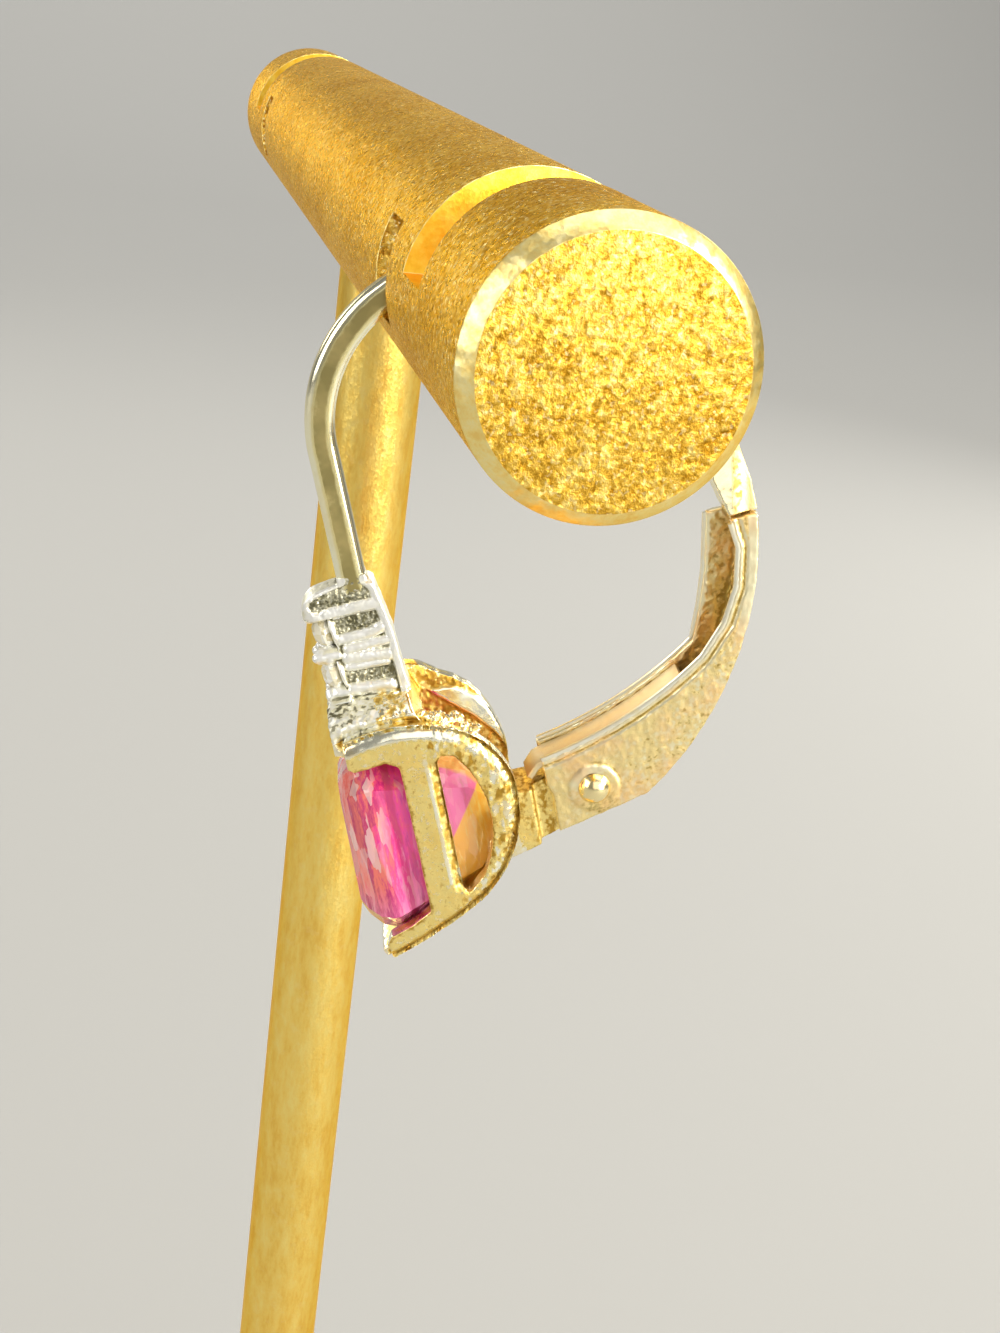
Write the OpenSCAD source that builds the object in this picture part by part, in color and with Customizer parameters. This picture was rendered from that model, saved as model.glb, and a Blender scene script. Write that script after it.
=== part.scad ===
// Leverback earring hanging on the slotted bar of a small display stand.
// The stand stands on Z = 0 with its post on the Z axis and its bar along Y.
// The earring is drawn in its own upright frame: u points back, from the stones to the lever,
// v runs across the earring and w points up. Its origin is the point of the ear wire that
// rests on the floor of the slot in the bar, and place_earring() hangs it there.

/* [Display stand] */
// Diameter of the round bar that carries the earring
bar_d = 6.5; // [5:0.1:8]
// Length of the bar, end to end
bar_len = 61.5; // [56:0.5:80]
// Height of the bar's axis above the table
bar_height = 100; // [85:1:140]
// Chamfer round both flat ends of the bar
bar_chamfer = 0.35; // [0.2:0.05:0.6]
// Diameter of the post
post_d = 3.4; // [2.5:0.1:4.5]
// Diameter of the round base
base_d = 52; // [40:1:80]
// Thickness of the round base
base_h = 6; // [4:0.5:12]

/* [Cuts in the bar] */
// Distance from the bar's end to the top cut
top_cut_inset = 5.5; // [5:0.1:6]
// Width of the top cut along the bar
top_cut_w = 2.4; // [1.5:0.1:2.8]
// Height of the top cut's floor above the bar's axis
top_cut_floor = 0.45; // [0.2:0.05:1]
// Width along the bar of the slot that goes through it from front to back
slot_w = 1.8; // [1.7:0.1:2.2]
// Height of the slot's roof above the bar's axis
slot_roof = 1.35; // [1.3:0.05:1.6]

/* [How the earring hangs] */
// Distance from the bar's near end to the earring
earring_inset = 11; // [10.7:0.1:14]
// Lean of the earring as it hangs, with its stones tipped downward
hang_tilt = 17.5; // [15:0.5:19]
// Turn of the earring about the vertical in its slot
hang_turn = 6.2; // [0:0.2:7]

/* [Earring] */
// Width and thickness of the ear wire
wire_w = 0.8; // [0.7:0.05:0.85]
// Overall width of the main setting, across its two frames
setting_w = 3.72; // [3.6:0.02:3.9]
// Thickness of each frame of the main setting
frame_t = 0.5; // [0.4:0.05:0.55]
// Overall width of the lever
lever_w = 1.66; // [1.6:0.02:1.9]
// Thickness of the lever's side walls
lever_wall = 0.25; // [0.2:0.05:0.3]
// Diameter of the hinge rivet
rivet_d = 0.7; // [0.6:0.05:0.8]
// Diameter of each small round stone
accent_d = 0.88; // [0.8:0.02:0.9]
// Length of the main stone
stone_l = 5.3; // [5:0.05:5.35]
// Width of the main stone
stone_w = 3.5; // [3.2:0.05:3.6]

/* [Hidden] */
$fn = 64;

// A gap that keeps neighbouring pieces apart, and the running clearance at the hinge
gap = 0.03;
running = 0.02;
// How far a cutting shape passes through what it cuts
over = 1;
// Steps along each curved stretch of an outline
arc_steps = 14;

// The point of the bar where the wire rests, from the bar's axis, and the slot's floor, which
// lies lower by what the bent wire dips there
rest_x = -3.02;
rest_z = -1.09;
wire_dip = 0.17;
slot_floor = rest_z - wire_dip;
earring_y = earring_inset - bar_len / 2;

// The hinge axis of the lever in the earring's frame
pivot = [3.14, -14.21];
lug_r = 0.85;
wall_in = lever_w / 2 - lever_wall;
lug_half = wall_in - 0.04;

// The small stones stand one above the other in front of the accent setting, facing a little down
accent_w_upper = -8.27;
accent_w_lower = -9.53;
accent_girdle_u = -3.42;
accent_lean = 8;

// The main stone's middle, and its lean out at the lower end
stone_mid = [-3.1, -14.53];
stone_lean = 1.5;

// The band between both frames: its inset from their outer edge, and its thickness
band_inset = 0.05;
band_t = 0.27;

// The accent setting's half width, and how far its side bars stand out of its core
accent_half = 0.5;
bar_relief = 0.12;
// Side bars of the accent setting: level, radius, front end, back end
side_bars = [
    [-7.7, 0.12, -3.3, -1.65],
    [-8.39, 0.11, -3.12, -1.6],
    [-8.68, 0.08, -2.3, -1.5],
    [-9.0, 0.16, -3.02, -1.6],
    [-9.31, 0.1, -3, -1.7],
    [-10.03, 0.13, -3.5, -1.7]
];
// Prongs between and below the small stones: level, front end; and their radius and place across
prongs = [[-8.9, -3.86], [-10.08, -3.72]];
prong_r = 0.15;
prong_v = 0.32;

// The centre of the circle through three points
function circle_centre(p, q, r) =
    let (
        d = 2 * (p.x * (q.y - r.y) + q.x * (r.y - p.y) + r.x * (p.y - q.y)),
        pp = p * p,
        qq = q * q,
        rr = r * r
    )
    [
        (pp * (q.y - r.y) + qq * (r.y - p.y) + rr * (p.y - q.y)) / d,
        (pp * (r.x - q.x) + qq * (p.x - r.x) + rr * (q.x - p.x)) / d
    ];

// An angle brought into the range from 0 to 360 degrees
function turn(a) = a - 360 * floor(a / 360);

// Points along the circle from p through q to r
function arc_through(p, q, r) =
    let (
        c = circle_centre(p, q, r),
        start = atan2(p.y - c.y, p.x - c.x),
        finish = atan2(r.y - c.y, r.x - c.x),
        left = cross(q - p, r - q) > 0,
        sweep = left ? turn(finish - start) : -turn(start - finish)
    )
    [for (i = [0 : arc_steps]) c + norm(p - c) * [
        cos(start + sweep * i / arc_steps),
        sin(start + sweep * i / arc_steps)
    ]];

// A path moved sideways by d, to its left for a positive d
function beside(path, d) =
    [for (i = [0 : len(path) - 1])
        let (
            run = path[min(i + 1, len(path) - 1)] - path[max(i - 1, 0)],
            side = [-run.y, run.x] / norm(run)
        )
        path[i] + d * side
    ];

function reversed(path) = [for (i = [len(path) - 1 : -1 : 0]) path[i]];

// The path without its first point, where it joins the end of another
function tail(path) = [for (i = [1 : len(path) - 1]) path[i]];

// Middle line of the ear wire, from the accent setting over the bar's floor to its tip
wire_path = concat(
    [[-2.33, -7.2], [-2.33, -4.8]],
    arc_through([-2.33, -3.1], [-1.52, -0.87], [0.1, 0.42]),
    tail(arc_through([0.1, 0.42], [2.2, 0.93], [4.6, 0.33])),
    tail(arc_through([4.6, 0.33], [7.05, -1.9], [8.1, -5.35]))
);
wire_tip = [[8.74, -6.3], [8.85, -7.0], [8.42, -7.02], [8.1, -7.36], [7.72, -6.1]];
wire_outline = concat(
    beside(wire_path, wire_w / 2),
    wire_tip,
    reversed(beside(wire_path, -wire_w / 2))
);

// The curved back of the main setting, from the hinge lug down and forward to its lower end
lower_back = concat(
    arc_through([0.97, -13.6], [0.47, -15.32], [-0.6, -16.5]),
    tail(arc_through([-0.6, -16.5], [-2, -17.23], [-3.42, -17.78]))
);

// One side frame of the main setting: open arms in front, a rail and a window behind it
frame_outline = concat(
    arc_through([-3.48, -10.98], [-2.1, -10.75], [-0.65, -11.03]),
    tail(arc_through([-0.65, -11.03], [0.7, -12.22], [0.97, -13.6])),
    tail(lower_back),
    [[-3.5, -17.3], [-3.36, -17.08], [-2.74, -16.87], [-2.09, -16.52]],
    [[-2.09, -11.92], [-2.45, -11.74], [-3.31, -11.84], [-3.48, -11.72]]
);
window_outline = concat(
    [[-1.05, -15.95], [-1.05, -12], [-0.93, -11.83]],
    arc_through([-0.55, -11.93], [0.1, -13.75], [-0.38, -15.7]),
    [[-0.93, -16.22]]
);

// The lever's walls share their hinge end and outer edge and differ at the top
lever_outer = arc_through([4.64, -14.73], [7.2, -12.05], [8.8, -7.15]);
lever_low = concat(
    [[1.82, -13.08], [1.82, -13.8], [1.95, -14.2], [1.95, -15.38]],
    lever_outer
);
lever_inner = arc_through([6.74, -10.94], [4.6, -12.2], [1.82, -13.08]);
near_wall_outline = concat(
    lever_low,
    [[8.02, -7.15], [8.15, -7.98]],
    [[7.95, -9.1], [7.5, -10.05]],
    lever_inner
);
far_wall_outline = concat(
    lever_low,
    [[7.63, -7.25], [7.36, -8.9], [7.06, -10]],
    lever_inner
);
web_outline = concat(lever_outer, reversed(beside(lever_outer, 0.34)));

// The flat spring inside the lever, with its free end bent down over the hinge lug
spring_t = 0.2;
spring_path = arc_through([6.1, -11.5], [4.3, -12.43], [1.95, -13.16]);
spring_lip = [[1.62, -13.27], [1.32, -13.62]];
spring_outline = concat(spring_path, spring_lip, [[1.46, -13.72], [1.7, -13.46]],
    reversed(beside(spring_path, spring_t)));

// The hinge lug reaches from the setting's back between the lever's walls
lug_root = [[0.3, -13.88], [1.4, -13.88], [1.4, -15.66], [0.3, -15.98], [-0.05, -15.98]];

// An outline in u and w, made solid from one v to another
module plate(outline, from_v, to_v) {
    translate([0, to_v, 0])
        rotate([90, 0, 0])
            linear_extrude(to_v - from_v)
                polygon(outline);
}

// A round bar along v through a point in u and w
module cross_bar(at, d, from_v, to_v) {
    translate([at.x, to_v, at.y])
        rotate([90, 0, 0])
            cylinder(h = to_v - from_v, d = d);
}

module place_earring() {
    translate([0, earring_y, bar_height])
        rotate([0, 0, -hang_turn])
            translate([rest_x, 0, rest_z])
                rotate([0, -hang_tilt, 0])
                    children();
}

module stand_base() {
    edge = 0.8;
    color("goldenrod")
        rotate_extrude()
            polygon([
                [0, 0], [base_d / 2, 0], [base_d / 2, base_h - edge],
                [base_d / 2 - edge, base_h], [0, base_h]
            ]);
}

module stand_post() {
    saddle = 0.4;
    color("goldenrod")
        translate([0, 0, base_h])
            difference() {
                cylinder(h = bar_height - base_h - bar_d / 2 + saddle, d = post_d);
                translate([0, 0, bar_height - base_h])
                    rotate([90, 0, 0])
                        cylinder(h = 2 * post_d, d = bar_d, center = true);
            }
}

// The cuts near one end of the bar, measured from that end
module bar_cuts() {
    translate([-bar_d, top_cut_inset, top_cut_floor])
        cube([2 * bar_d, top_cut_w, bar_d]);
    translate([-bar_d, earring_inset - slot_w / 2, slot_floor])
        cube([2 * bar_d, slot_w, slot_roof - slot_floor]);
}

module stand_bar() {
    half = bar_len / 2;
    r = bar_d / 2;
    color("gold")
        translate([0, 0, bar_height])
            difference() {
                rotate([90, 0, 0])
                    rotate_extrude()
                        polygon([
                            [0, -half], [r - bar_chamfer, -half], [r, bar_chamfer - half],
                            [r, half - bar_chamfer], [r - bar_chamfer, half], [0, half]
                        ]);
                for (side = [0, 1])
                    mirror([0, side, 0])
                        translate([0, -half, 0])
                            bar_cuts();
            }
}

// Both side frames of the main setting: the near one has a window and the far one is closed
module frames() {
    half = setting_w / 2;
    difference() {
        plate(frame_outline, -half, frame_t - half);
        plate(window_outline, -half - over, frame_t - half + over);
    }
    plate(frame_outline, half - frame_t, half);
}

// Shoulders that carry the accent setting on both frames, with the seat above the main stone
module accent_base() {
    inside = setting_w / 2 - frame_t / 2;
    shoulders = [
        [-inside, -11.6], [-inside, -10.55], [-1.3, -10.35], [-0.4, -10.12],
        [0.4, -10.12], [1.3, -10.35], [inside, -10.55], [inside, -11.6]
    ];
    side_view = [
        [-3.74, -10.3], [-3.6, -10.1], [-1.5, -10.1], [-1.4, -10.5], [-1.15, -11.1],
        [-1.5, -11.5], [-3.2, -11.55], [-3.76, -11.35]
    ];
    intersection() {
        translate([-4, 0, 0])
            rotate([90, 0, 90])
                linear_extrude(3)
                    polygon(shoulders);
        plate(side_view, -inside, inside);
    }
    plate([[-1.6, -11], [-1.6, -10.2], [-1.1, -10.32], [-0.6, -10.68], [-0.6, -11.2]],
        setting_w / 2 - frame_t, setting_w / 2);
}

// The band that closes the back between both frames, from the hinge lug to the lower end
module lower_band() {
    inside = setting_w / 2 - frame_t / 2;
    start = 2;
    lip = [-3.58, -17.81];
    middle = [for (i = [start : len(lower_back) - 1]) lower_back[i]];
    path = concat(beside(middle, -band_inset), [lip]);
    plate(concat(path, reversed(beside(path, -band_t))), -inside, inside);
}

// A round bar along u with a round front end
module prong(at_v, level, r, from_u, to_u) {
    translate([from_u + r, at_v, level]) {
        sphere(r = r, $fn = 24);
        rotate([0, 90, 0])
            cylinder(h = to_u - from_u - r, r = r, $fn = 24);
    }
}

// An outline with round corners at its far end, for rounding a block seen from above or in front
function round_ended(half, r, from, to) =
    let (dir = sign(to - from))
    concat(
        [[from, -half]],
        arc_through([to - dir * r, -half], [to - 0.293 * dir * r, -half + 0.293 * r], [to, r - half]),
        arc_through([to, half - r], [to - 0.293 * dir * r, half - 0.293 * r], [to - dir * r, half]),
        [[from, half]]
    );

// The block at the top of the accent setting, rounded in front and on top
module top_block() {
    outline = concat(
        [[-2.62, -6.88], [-3.1, -6.97]],
        arc_through([-3.35, -7.03], [-3.76, -7.3], [-3.88, -7.78]),
        [[-3.3, -7.8], [-1.66, -7.74], [-1.74, -7.05], [-1.98, -6.72]]
    );
    round_r = 0.4;
    intersection() {
        plate(outline, -accent_half, accent_half);
        translate([0, 0, -9])
            linear_extrude(3)
                polygon(round_ended(accent_half, round_r, -1, -3.9));
        translate([-4, 0, 0])
            rotate([0, -90, 0])
                mirror([0, 0, 1])
                    linear_extrude(3)
                        polygon(round_ended(accent_half, round_r, -9, -6.84));
    }
}

// The accent setting: a top block, a back rail, a core with bars on its sides and two cups
module accent_setting() {
    core_half = accent_half - bar_relief;
    back_rail = [
        [-2.1, -6.96], [-1.8, -7], [-1.66, -7.56], [-1.5, -8.6], [-1.45, -9.6],
        [-1.36, -10.3], [-1.6, -10.3], [-1.66, -9.6], [-1.72, -8.6], [-1.9, -7.56]
    ];
    top_block();
    plate(back_rail, -accent_half, accent_half);
    plate([[-3.1, -7.6], [-1.75, -7.6], [-1.52, -10.3], [-3.1, -10.3]], -core_half, core_half);
    for (bar = side_bars, side = [-1, 1])
        prong(side * (accent_half - bar[1]), bar[0], bar[1], bar[2], bar[3]);
    for (tip = prongs, side = [-1, 1])
        prong(side * prong_v, tip[0], prong_r, tip[1], -2.9);
    for (level = [accent_w_upper, accent_w_lower])
        at_accent_stone(level)
            translate([0, 0, 0.14])
                cylinder(h = 0.26, d = accent_d + 0.12);
}

// The place of a small round stone, with its point along its own third axis
module at_accent_stone(level) {
    translate([accent_girdle_u, 0, level])
        rotate([0, 90 - accent_lean, 0])
            children();
}

// Room for one small stone and its point
module accent_pocket(level) {
    r = accent_d / 2 + gap;
    at_accent_stone(level) {
        translate([0, 0, -over])
            cylinder(h = over + 0.09, r = r);
        translate([0, 0, 0.08])
            cylinder(h = 0.5, r1 = r, r2 = 0.1);
    }
}

// The lug that carries the lever, rooted on the band and between both frames
module hinge_lug() {
    plate(lug_root, -lever_w / 2, lever_w / 2);
    plate([[1.2, -13.9], [2.6, -13.55], [3.14, -13.5], [3.14, -15.03], [2.5, -15.28], [1.2, -15.7]],
        -lug_half, lug_half);
    cross_bar(pivot, 2 * lug_r, -lug_half, lug_half);
}

module hook_and_settings() {
    color("khaki")
        place_earring()
            difference() {
                union() {
                    plate(wire_outline, -wire_w / 2, wire_w / 2);
                    frames();
                    accent_base();
                    lower_band();
                    accent_setting();
                    hinge_lug();
                }
                accent_pocket(accent_w_upper);
                accent_pocket(accent_w_lower);
                cross_bar(pivot, rivet_d + 2 * running, -over, over);
            }
}

// One level of the main stone: a rectangle with cut corners, as a thin plate at depth u
module stone_level(u, half_w, half_l) {
    corner = 0.36 * half_w;
    skin = 0.01;
    translate([u, 0, 0])
        rotate([90, 0, 90])
            linear_extrude(skin)
                polygon([
                    [half_w, half_l - corner], [half_w - corner, half_l],
                    [corner - half_w, half_l], [-half_w, half_l - corner],
                    [-half_w, corner - half_l], [corner - half_w, -half_l],
                    [half_w - corner, -half_l], [half_w, corner - half_l]
                ]);
}

// Step cut: a table, two crown steps, a girdle, and pavilion steps down to a keel
module main_stone() {
    w = stone_w / 2;
    l = stone_l / 2;
    // Depth, share of the half width and inset of the half length at each step
    steps = [
        [-0.88, 0.58, 0.7], [-0.7, 0.78, 0.42], [-0.36, 0.94, 0.12], [0, 1, 0],
        [0.16, 1, 0], [0.95, 0.73, 0.4], [1.85, 0.42, 0.85], [2.72, 0.08, 1.85]
    ];
    color("hotpink")
        place_earring()
            translate([stone_mid.x, 0, stone_mid.y])
                rotate([0, stone_lean, 0])
                    hull()
                        for (s = steps)
                            stone_level(s[0], w * s[1], l - s[2]);
}

// Round cut: a table of eight sides, a girdle of sixteen and a point
module accent_stone(level) {
    r = accent_d / 2;
    color("white")
        place_earring()
            at_accent_stone(level)
                hull() {
                    translate([0, 0, -0.2])
                        cylinder(h = 0.01, r = 0.56 * r, $fn = 8);
                    cylinder(h = 0.06, r = r, $fn = 16);
                    translate([0, 0, 0.46])
                        cylinder(h = 0.01, r = 0.02, $fn = 8);
                }
}

module accent_stone_upper() {
    accent_stone(accent_w_upper);
}

module accent_stone_lower() {
    accent_stone(accent_w_lower);
}

module lever() {
    half = lever_w / 2;
    boss_d = 1.4;
    boss_h = 0.05;
    color("khaki")
        place_earring()
            difference() {
                union() {
                    plate(near_wall_outline, -half, lever_wall - half);
                    plate(far_wall_outline, half - lever_wall, half);
                    plate(web_outline, -half, half);
                    cross_bar(pivot, boss_d, -half - boss_h, lever_wall - half);
                    cross_bar(pivot, boss_d, half - lever_wall, half + boss_h);
                }
                cross_bar(pivot, rivet_d + running, -lever_w, lever_w);
            }
}

module lever_spring() {
    inside = wall_in - gap;
    color("tan")
        place_earring()
            plate(spring_outline, -inside, inside);
}

// A pin with a dome on each end
module hinge_rivet() {
    reach = lever_w / 2 + 0.07;
    dome_r = 0.46;
    dome_h = 0.28;
    color("lightyellow")
        place_earring()
            translate([pivot.x, 0, pivot.y])
                rotate([90, 0, 0]) {
                    cylinder(h = 2 * reach, d = rivet_d, center = true);
                    for (side = [0, 1])
                        mirror([0, 0, side])
                            translate([0, 0, reach])
                                rotate_extrude()
                                    dome_section(dome_r, dome_h);
                }
}

// Half the section of a dome, a part of a circle that meets its flat underside
module dome_section(r, h) {
    ball = (r * r + h * h) / (2 * h);
    intersection() {
        translate([0, h - ball])
            circle(r = ball);
        square([r, h]);
    }
}

stand_base();
stand_post();
stand_bar();
hook_and_settings();
main_stone();
accent_stone_upper();
accent_stone_lower();
lever();
lever_spring();
hinge_rivet();
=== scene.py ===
# Looks of a leverback earring that hangs on the slotted bar of a small display stand.
# Lengths are in millimetres while a piece is drawn, and each finished mesh is put in metres.
# The earring's pieces are drawn in its own upright frame: u back from the stones to the lever,
# v across, w up, with the origin where the ear wire rests in the bar.
import math

import bmesh
import bpy
import numpy as np
from mathutils import Matrix, Vector, noise


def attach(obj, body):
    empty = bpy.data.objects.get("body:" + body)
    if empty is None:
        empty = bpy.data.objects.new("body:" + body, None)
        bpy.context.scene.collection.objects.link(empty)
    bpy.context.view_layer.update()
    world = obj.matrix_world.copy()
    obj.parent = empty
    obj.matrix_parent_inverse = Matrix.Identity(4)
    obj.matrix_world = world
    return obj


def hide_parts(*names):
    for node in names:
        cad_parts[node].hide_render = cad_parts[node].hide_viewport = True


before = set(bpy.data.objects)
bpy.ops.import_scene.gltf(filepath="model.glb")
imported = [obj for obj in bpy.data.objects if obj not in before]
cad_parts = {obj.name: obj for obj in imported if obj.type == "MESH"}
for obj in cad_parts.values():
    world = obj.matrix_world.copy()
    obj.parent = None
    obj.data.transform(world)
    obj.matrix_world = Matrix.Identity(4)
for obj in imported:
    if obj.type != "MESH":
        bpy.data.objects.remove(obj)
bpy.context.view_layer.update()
scene = bpy.context.scene
print("frame loaded:", len(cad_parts), "nodes")

metre = 0.001
mergeWithin = 0.0004  # corners of a solid's triangles that lie closer become one

# Where the earring hangs, as the solids have it
hanging = {"restX": -3.02, "restZ": -1.09, "alongY": -19.75, "barHeight": 100, "tilt": 17.5, "turn": 6.2}
earringToStand = (
    Matrix.Translation((0, hanging["alongY"], hanging["barHeight"]))
    @ Matrix.Rotation(math.radians(-hanging["turn"]), 4, "Z")
    @ Matrix.Translation((hanging["restX"], 0, hanging["restZ"]))
    @ Matrix.Rotation(math.radians(-hanging["tilt"]), 4, "Y")
)
standToWorld = Matrix.Scale(metre, 4)
earringToWorld = standToWorld @ earringToStand
toEarring = earringToWorld.inverted()


# Mesh helpers

def newPiece(name, mesh):
    piece = bpy.data.objects.new(name, mesh)
    scene.collection.objects.link(piece)
    return piece


def meshFromBmesh(name, bm):
    mesh = bpy.data.meshes.new(name)
    bm.to_mesh(mesh)
    bm.free()
    return mesh


def applyModifiers(piece):
    # The evaluated mesh takes the place of the drawn one, and no modifier stays
    bpy.context.view_layer.update()
    shown = piece.evaluated_get(bpy.context.evaluated_depsgraph_get())
    mesh = bpy.data.meshes.new_from_object(shown)
    piece.modifiers.clear()
    piece.data = mesh
    mesh.name = piece.name
    return piece


def bevelEdges(piece, form):
    edges = piece.modifiers.new("edges", "BEVEL")
    edges.limit_method = "ANGLE"
    edges.angle_limit = math.radians(form["edgeAngle"])
    edges.width = form["edge"]
    edges.segments = form["edgeSegments"]


def nodeCopy(node):
    # A merged copy of a solid's mesh, in millimetres in the earring's own frame
    bm = bmesh.new()
    bm.from_mesh(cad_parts[node].data)
    bm.transform(toEarring)
    bmesh.ops.remove_doubles(bm, verts=bm.verts, dist=mergeWithin)
    return bm


def cutAway(bm, point, normal):
    # Everything beyond the plane goes, and the cut is closed
    geometry = bm.verts[:] + bm.edges[:] + bm.faces[:]
    cut = bmesh.ops.bisect_plane(bm, geom=geometry, plane_co=point, plane_no=normal, clear_outer=True)
    rim = [e for e in cut["geom_cut"] if isinstance(e, bmesh.types.BMEdge)]
    bmesh.ops.holes_fill(bm, edges=[e for e in rim if e.is_boundary], sides=0)


def readVerts(mesh):
    points = np.empty(len(mesh.vertices) * 3, np.float32)
    mesh.vertices.foreach_get("co", points)
    return points.reshape(-1, 3)


def writeVerts(mesh, points):
    mesh.vertices.foreach_set("co", np.ascontiguousarray(points, np.float32).ravel())
    mesh.update()


def readNormals(mesh):
    normals = np.empty(len(mesh.vertices) * 3, np.float32)
    mesh.vertex_normals.foreach_get("vector", normals)
    return normals.reshape(-1, 3)


def readCentres(mesh):
    return np.array([face.center for face in mesh.polygons])


def noiseAt(points, size):
    # Smooth noise with features of that size, from about -1 to 1
    dimension, spacing, octaves = 0.6, 2.1, 2
    return np.array([
        noise.fractal(Vector(p) / size, dimension, spacing, octaves) for p in points.tolist()])


def smoothStep(values, low, high):
    t = np.clip((values - low) / (high - low), 0, 1)
    return t * t * (3 - 2 * t)


def fade(values, low, high):
    return 1 - smoothStep(values, low, high)


def blend(values, share, other):
    return values * (1 - share) + share * other


def distanceToPath(points, path):
    # From points in u and w to the nearest stretch of a path
    starts, ends = np.array(path[:-1]), np.array(path[1:])
    runs = ends - starts
    lengths = np.maximum((runs ** 2).sum(1), 1e-12)
    best = np.full(len(points), np.inf)
    for start, run, length in zip(starts, runs, lengths):
        share = np.clip(((points - start) @ run) / length, 0, 1)
        gap = points - start - share[:, None] * run
        best = np.minimum(best, np.sqrt((gap ** 2).sum(1)))
    return best


# The relief kept on a mesh says how far a point stands out: 0 in hollows, a half on flat ground, 1 on edges.
# Its colours paint shade into the hollows and highlights onto the edges, and some places get it set directly
# to paint light or shade there

def storeRelief(mesh, relief):
    kept = mesh.attributes.get("relief") or mesh.attributes.new("relief", "FLOAT", "POINT")
    kept.data.foreach_set("value", np.clip(relief, 0, 1).astype(np.float32))


def readRelief(mesh):
    relief = np.empty(len(mesh.vertices), np.float32)
    mesh.attributes["relief"].data.foreach_get("value", relief)
    return relief


def layered(relief, layers):
    # Each layer has its share at every point, and the relief that it brings there
    for share, other in layers:
        relief = blend(relief, share, other)
    return relief


def standingOut(mesh, rounds):
    # How far each point stands out of its own neighbourhood: edges above 0, hollows below
    edges = np.empty(len(mesh.edges) * 2, np.int32)
    mesh.edges.foreach_get("vertices", edges)
    first, second = edges.reshape(-1, 2).T
    points = readVerts(mesh).astype(np.float64)
    count = len(points)
    neighbours = np.maximum(np.bincount(edges, minlength=count), 1)
    blurred = points.copy()
    for _ in range(rounds):
        sums = [np.bincount(first, along[second], count) + np.bincount(second, along[first], count)
                for along in blurred.T]
        blurred = np.stack(sums, 1) / neighbours[:, None]
    return ((points - blurred) * readNormals(mesh)).sum(1)


def addLumps(mesh, points, lumps):
    # Unevenness all over, by the size of its lumps and their height
    size, height = lumps
    writeVerts(mesh, points + readNormals(mesh) * (noiseAt(points, size) * height)[:, None])


def fused(name, bm, form, shaping):
    # Soldered and cast metal: welded into one skin, its edges eased, then shaped, with a little unevenness
    piece = newPiece(name, meshFromBmesh(name, bm))
    weld = piece.modifiers.new("weld", "REMESH")
    weld.mode = "VOXEL"
    weld.voxel_size = form["voxel"]
    ease = piece.modifiers.new("ease", "SMOOTH")
    ease.factor = 0.5
    ease.iterations = form["smoothing"]
    applyModifiers(piece)
    mesh = piece.data
    points = shaping(readVerts(mesh), readNormals(mesh))
    writeVerts(mesh, points)
    addLumps(mesh, points, form["lumps"])
    # The relief measured here gives hollows painted shade and edges a painted highlight
    rounds, full = form["relief"]
    storeRelief(mesh, 0.5 + 0.5 * standingOut(mesh, rounds) / full)
    return piece


def finishPiece(piece, toWorld, materials, angle=180, choice=None):
    # The mesh goes to its place in metres; the choice says which of the materials each face takes
    mesh = piece.data
    if "relief" not in mesh.attributes:
        storeRelief(mesh, np.full(len(mesh.vertices), 0.5))
    mesh.transform(toWorld)
    mesh.materials.clear()
    for name in materials:
        mesh.materials.append(metals[name])
    if choice is not None:
        mesh.polygons.foreach_set("material_index", np.array(choice, np.int32))
    mesh.shade_smooth()
    if angle < 180:
        mesh.set_sharp_from_angle(angle=math.radians(angle))


def dress(piece, node, body="root"):
    # The piece stands in for its node and moves with its body
    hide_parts(node)
    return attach(piece, body)


def latheMesh(name, profile, segments):
    # Points of radius and height, turned round the third axis and closed at both poles
    bm = bmesh.new()
    rings = []
    for radius, height in profile:
        if radius == 0:
            rings.append([bm.verts.new((0, 0, height))])
            continue
        turns = [2 * math.pi * i / segments for i in range(segments)]
        rings.append([bm.verts.new((radius * math.cos(a), radius * math.sin(a), height)) for a in turns])
    for low, high in zip(rings, rings[1:]):
        for i in range(segments):
            j = (i + 1) % segments
            corners = [low[i % len(low)], low[j % len(low)], high[j % len(high)], high[i % len(high)]]
            bm.faces.new(list(dict.fromkeys(corners)))
    bmesh.ops.recalc_face_normals(bm, faces=bm.faces)
    return meshFromBmesh(name, bm)


# Node helpers, for materials and for Geometry Nodes

def putIn(tree, socket, value):
    # Another node's output, a colour, or a plain value
    if isinstance(value, bpy.types.NodeSocket):
        tree.links.new(value, socket)
    elif socket.type == "RGBA":
        socket.default_value = (*value, 1)
    else:
        socket.default_value = value


def addNode(tree, kind, output, inputs, **settings):
    node = tree.nodes.new(kind)
    for name, value in settings.items():
        setattr(node, name, value)
    for socket, value in inputs.items():
        putIn(tree, node.inputs[socket], value)
    return node.outputs[output]


def newTree(name, inputs, output):
    # A Geometry Nodes tree with named inputs, and the sockets that bring them in
    tree = bpy.data.node_groups.new(name, "GeometryNodeTree")
    for socket, kind in inputs.items():
        tree.interface.new_socket(socket, in_out="INPUT", socket_type="NodeSocket" + kind)
    tree.interface.new_socket(output, in_out="OUTPUT", socket_type="NodeSocketGeometry")
    return tree, tree.nodes.new("NodeGroupInput").outputs


def endTree(tree, geometry, finish):
    real = addNode(tree, "GeometryNodeRealizeInstances", "Geometry", {"Geometry": geometry})
    ready = addNode(tree, "GeometryNodeSetMaterial", "Geometry", {"Geometry": real, "Material": finish})
    tree.links.new(ready, tree.nodes.new("NodeGroupOutput").inputs[0])
    return tree


def setInputs(modifier, values):
    # Inputs are set by their socket's identifier
    for socket in modifier.node_group.interface.items_tree:
        if socket.item_type == "SOCKET" and socket.in_out == "INPUT" and socket.name in values:
            modifier[socket.identifier] = values[socket.name]


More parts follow.
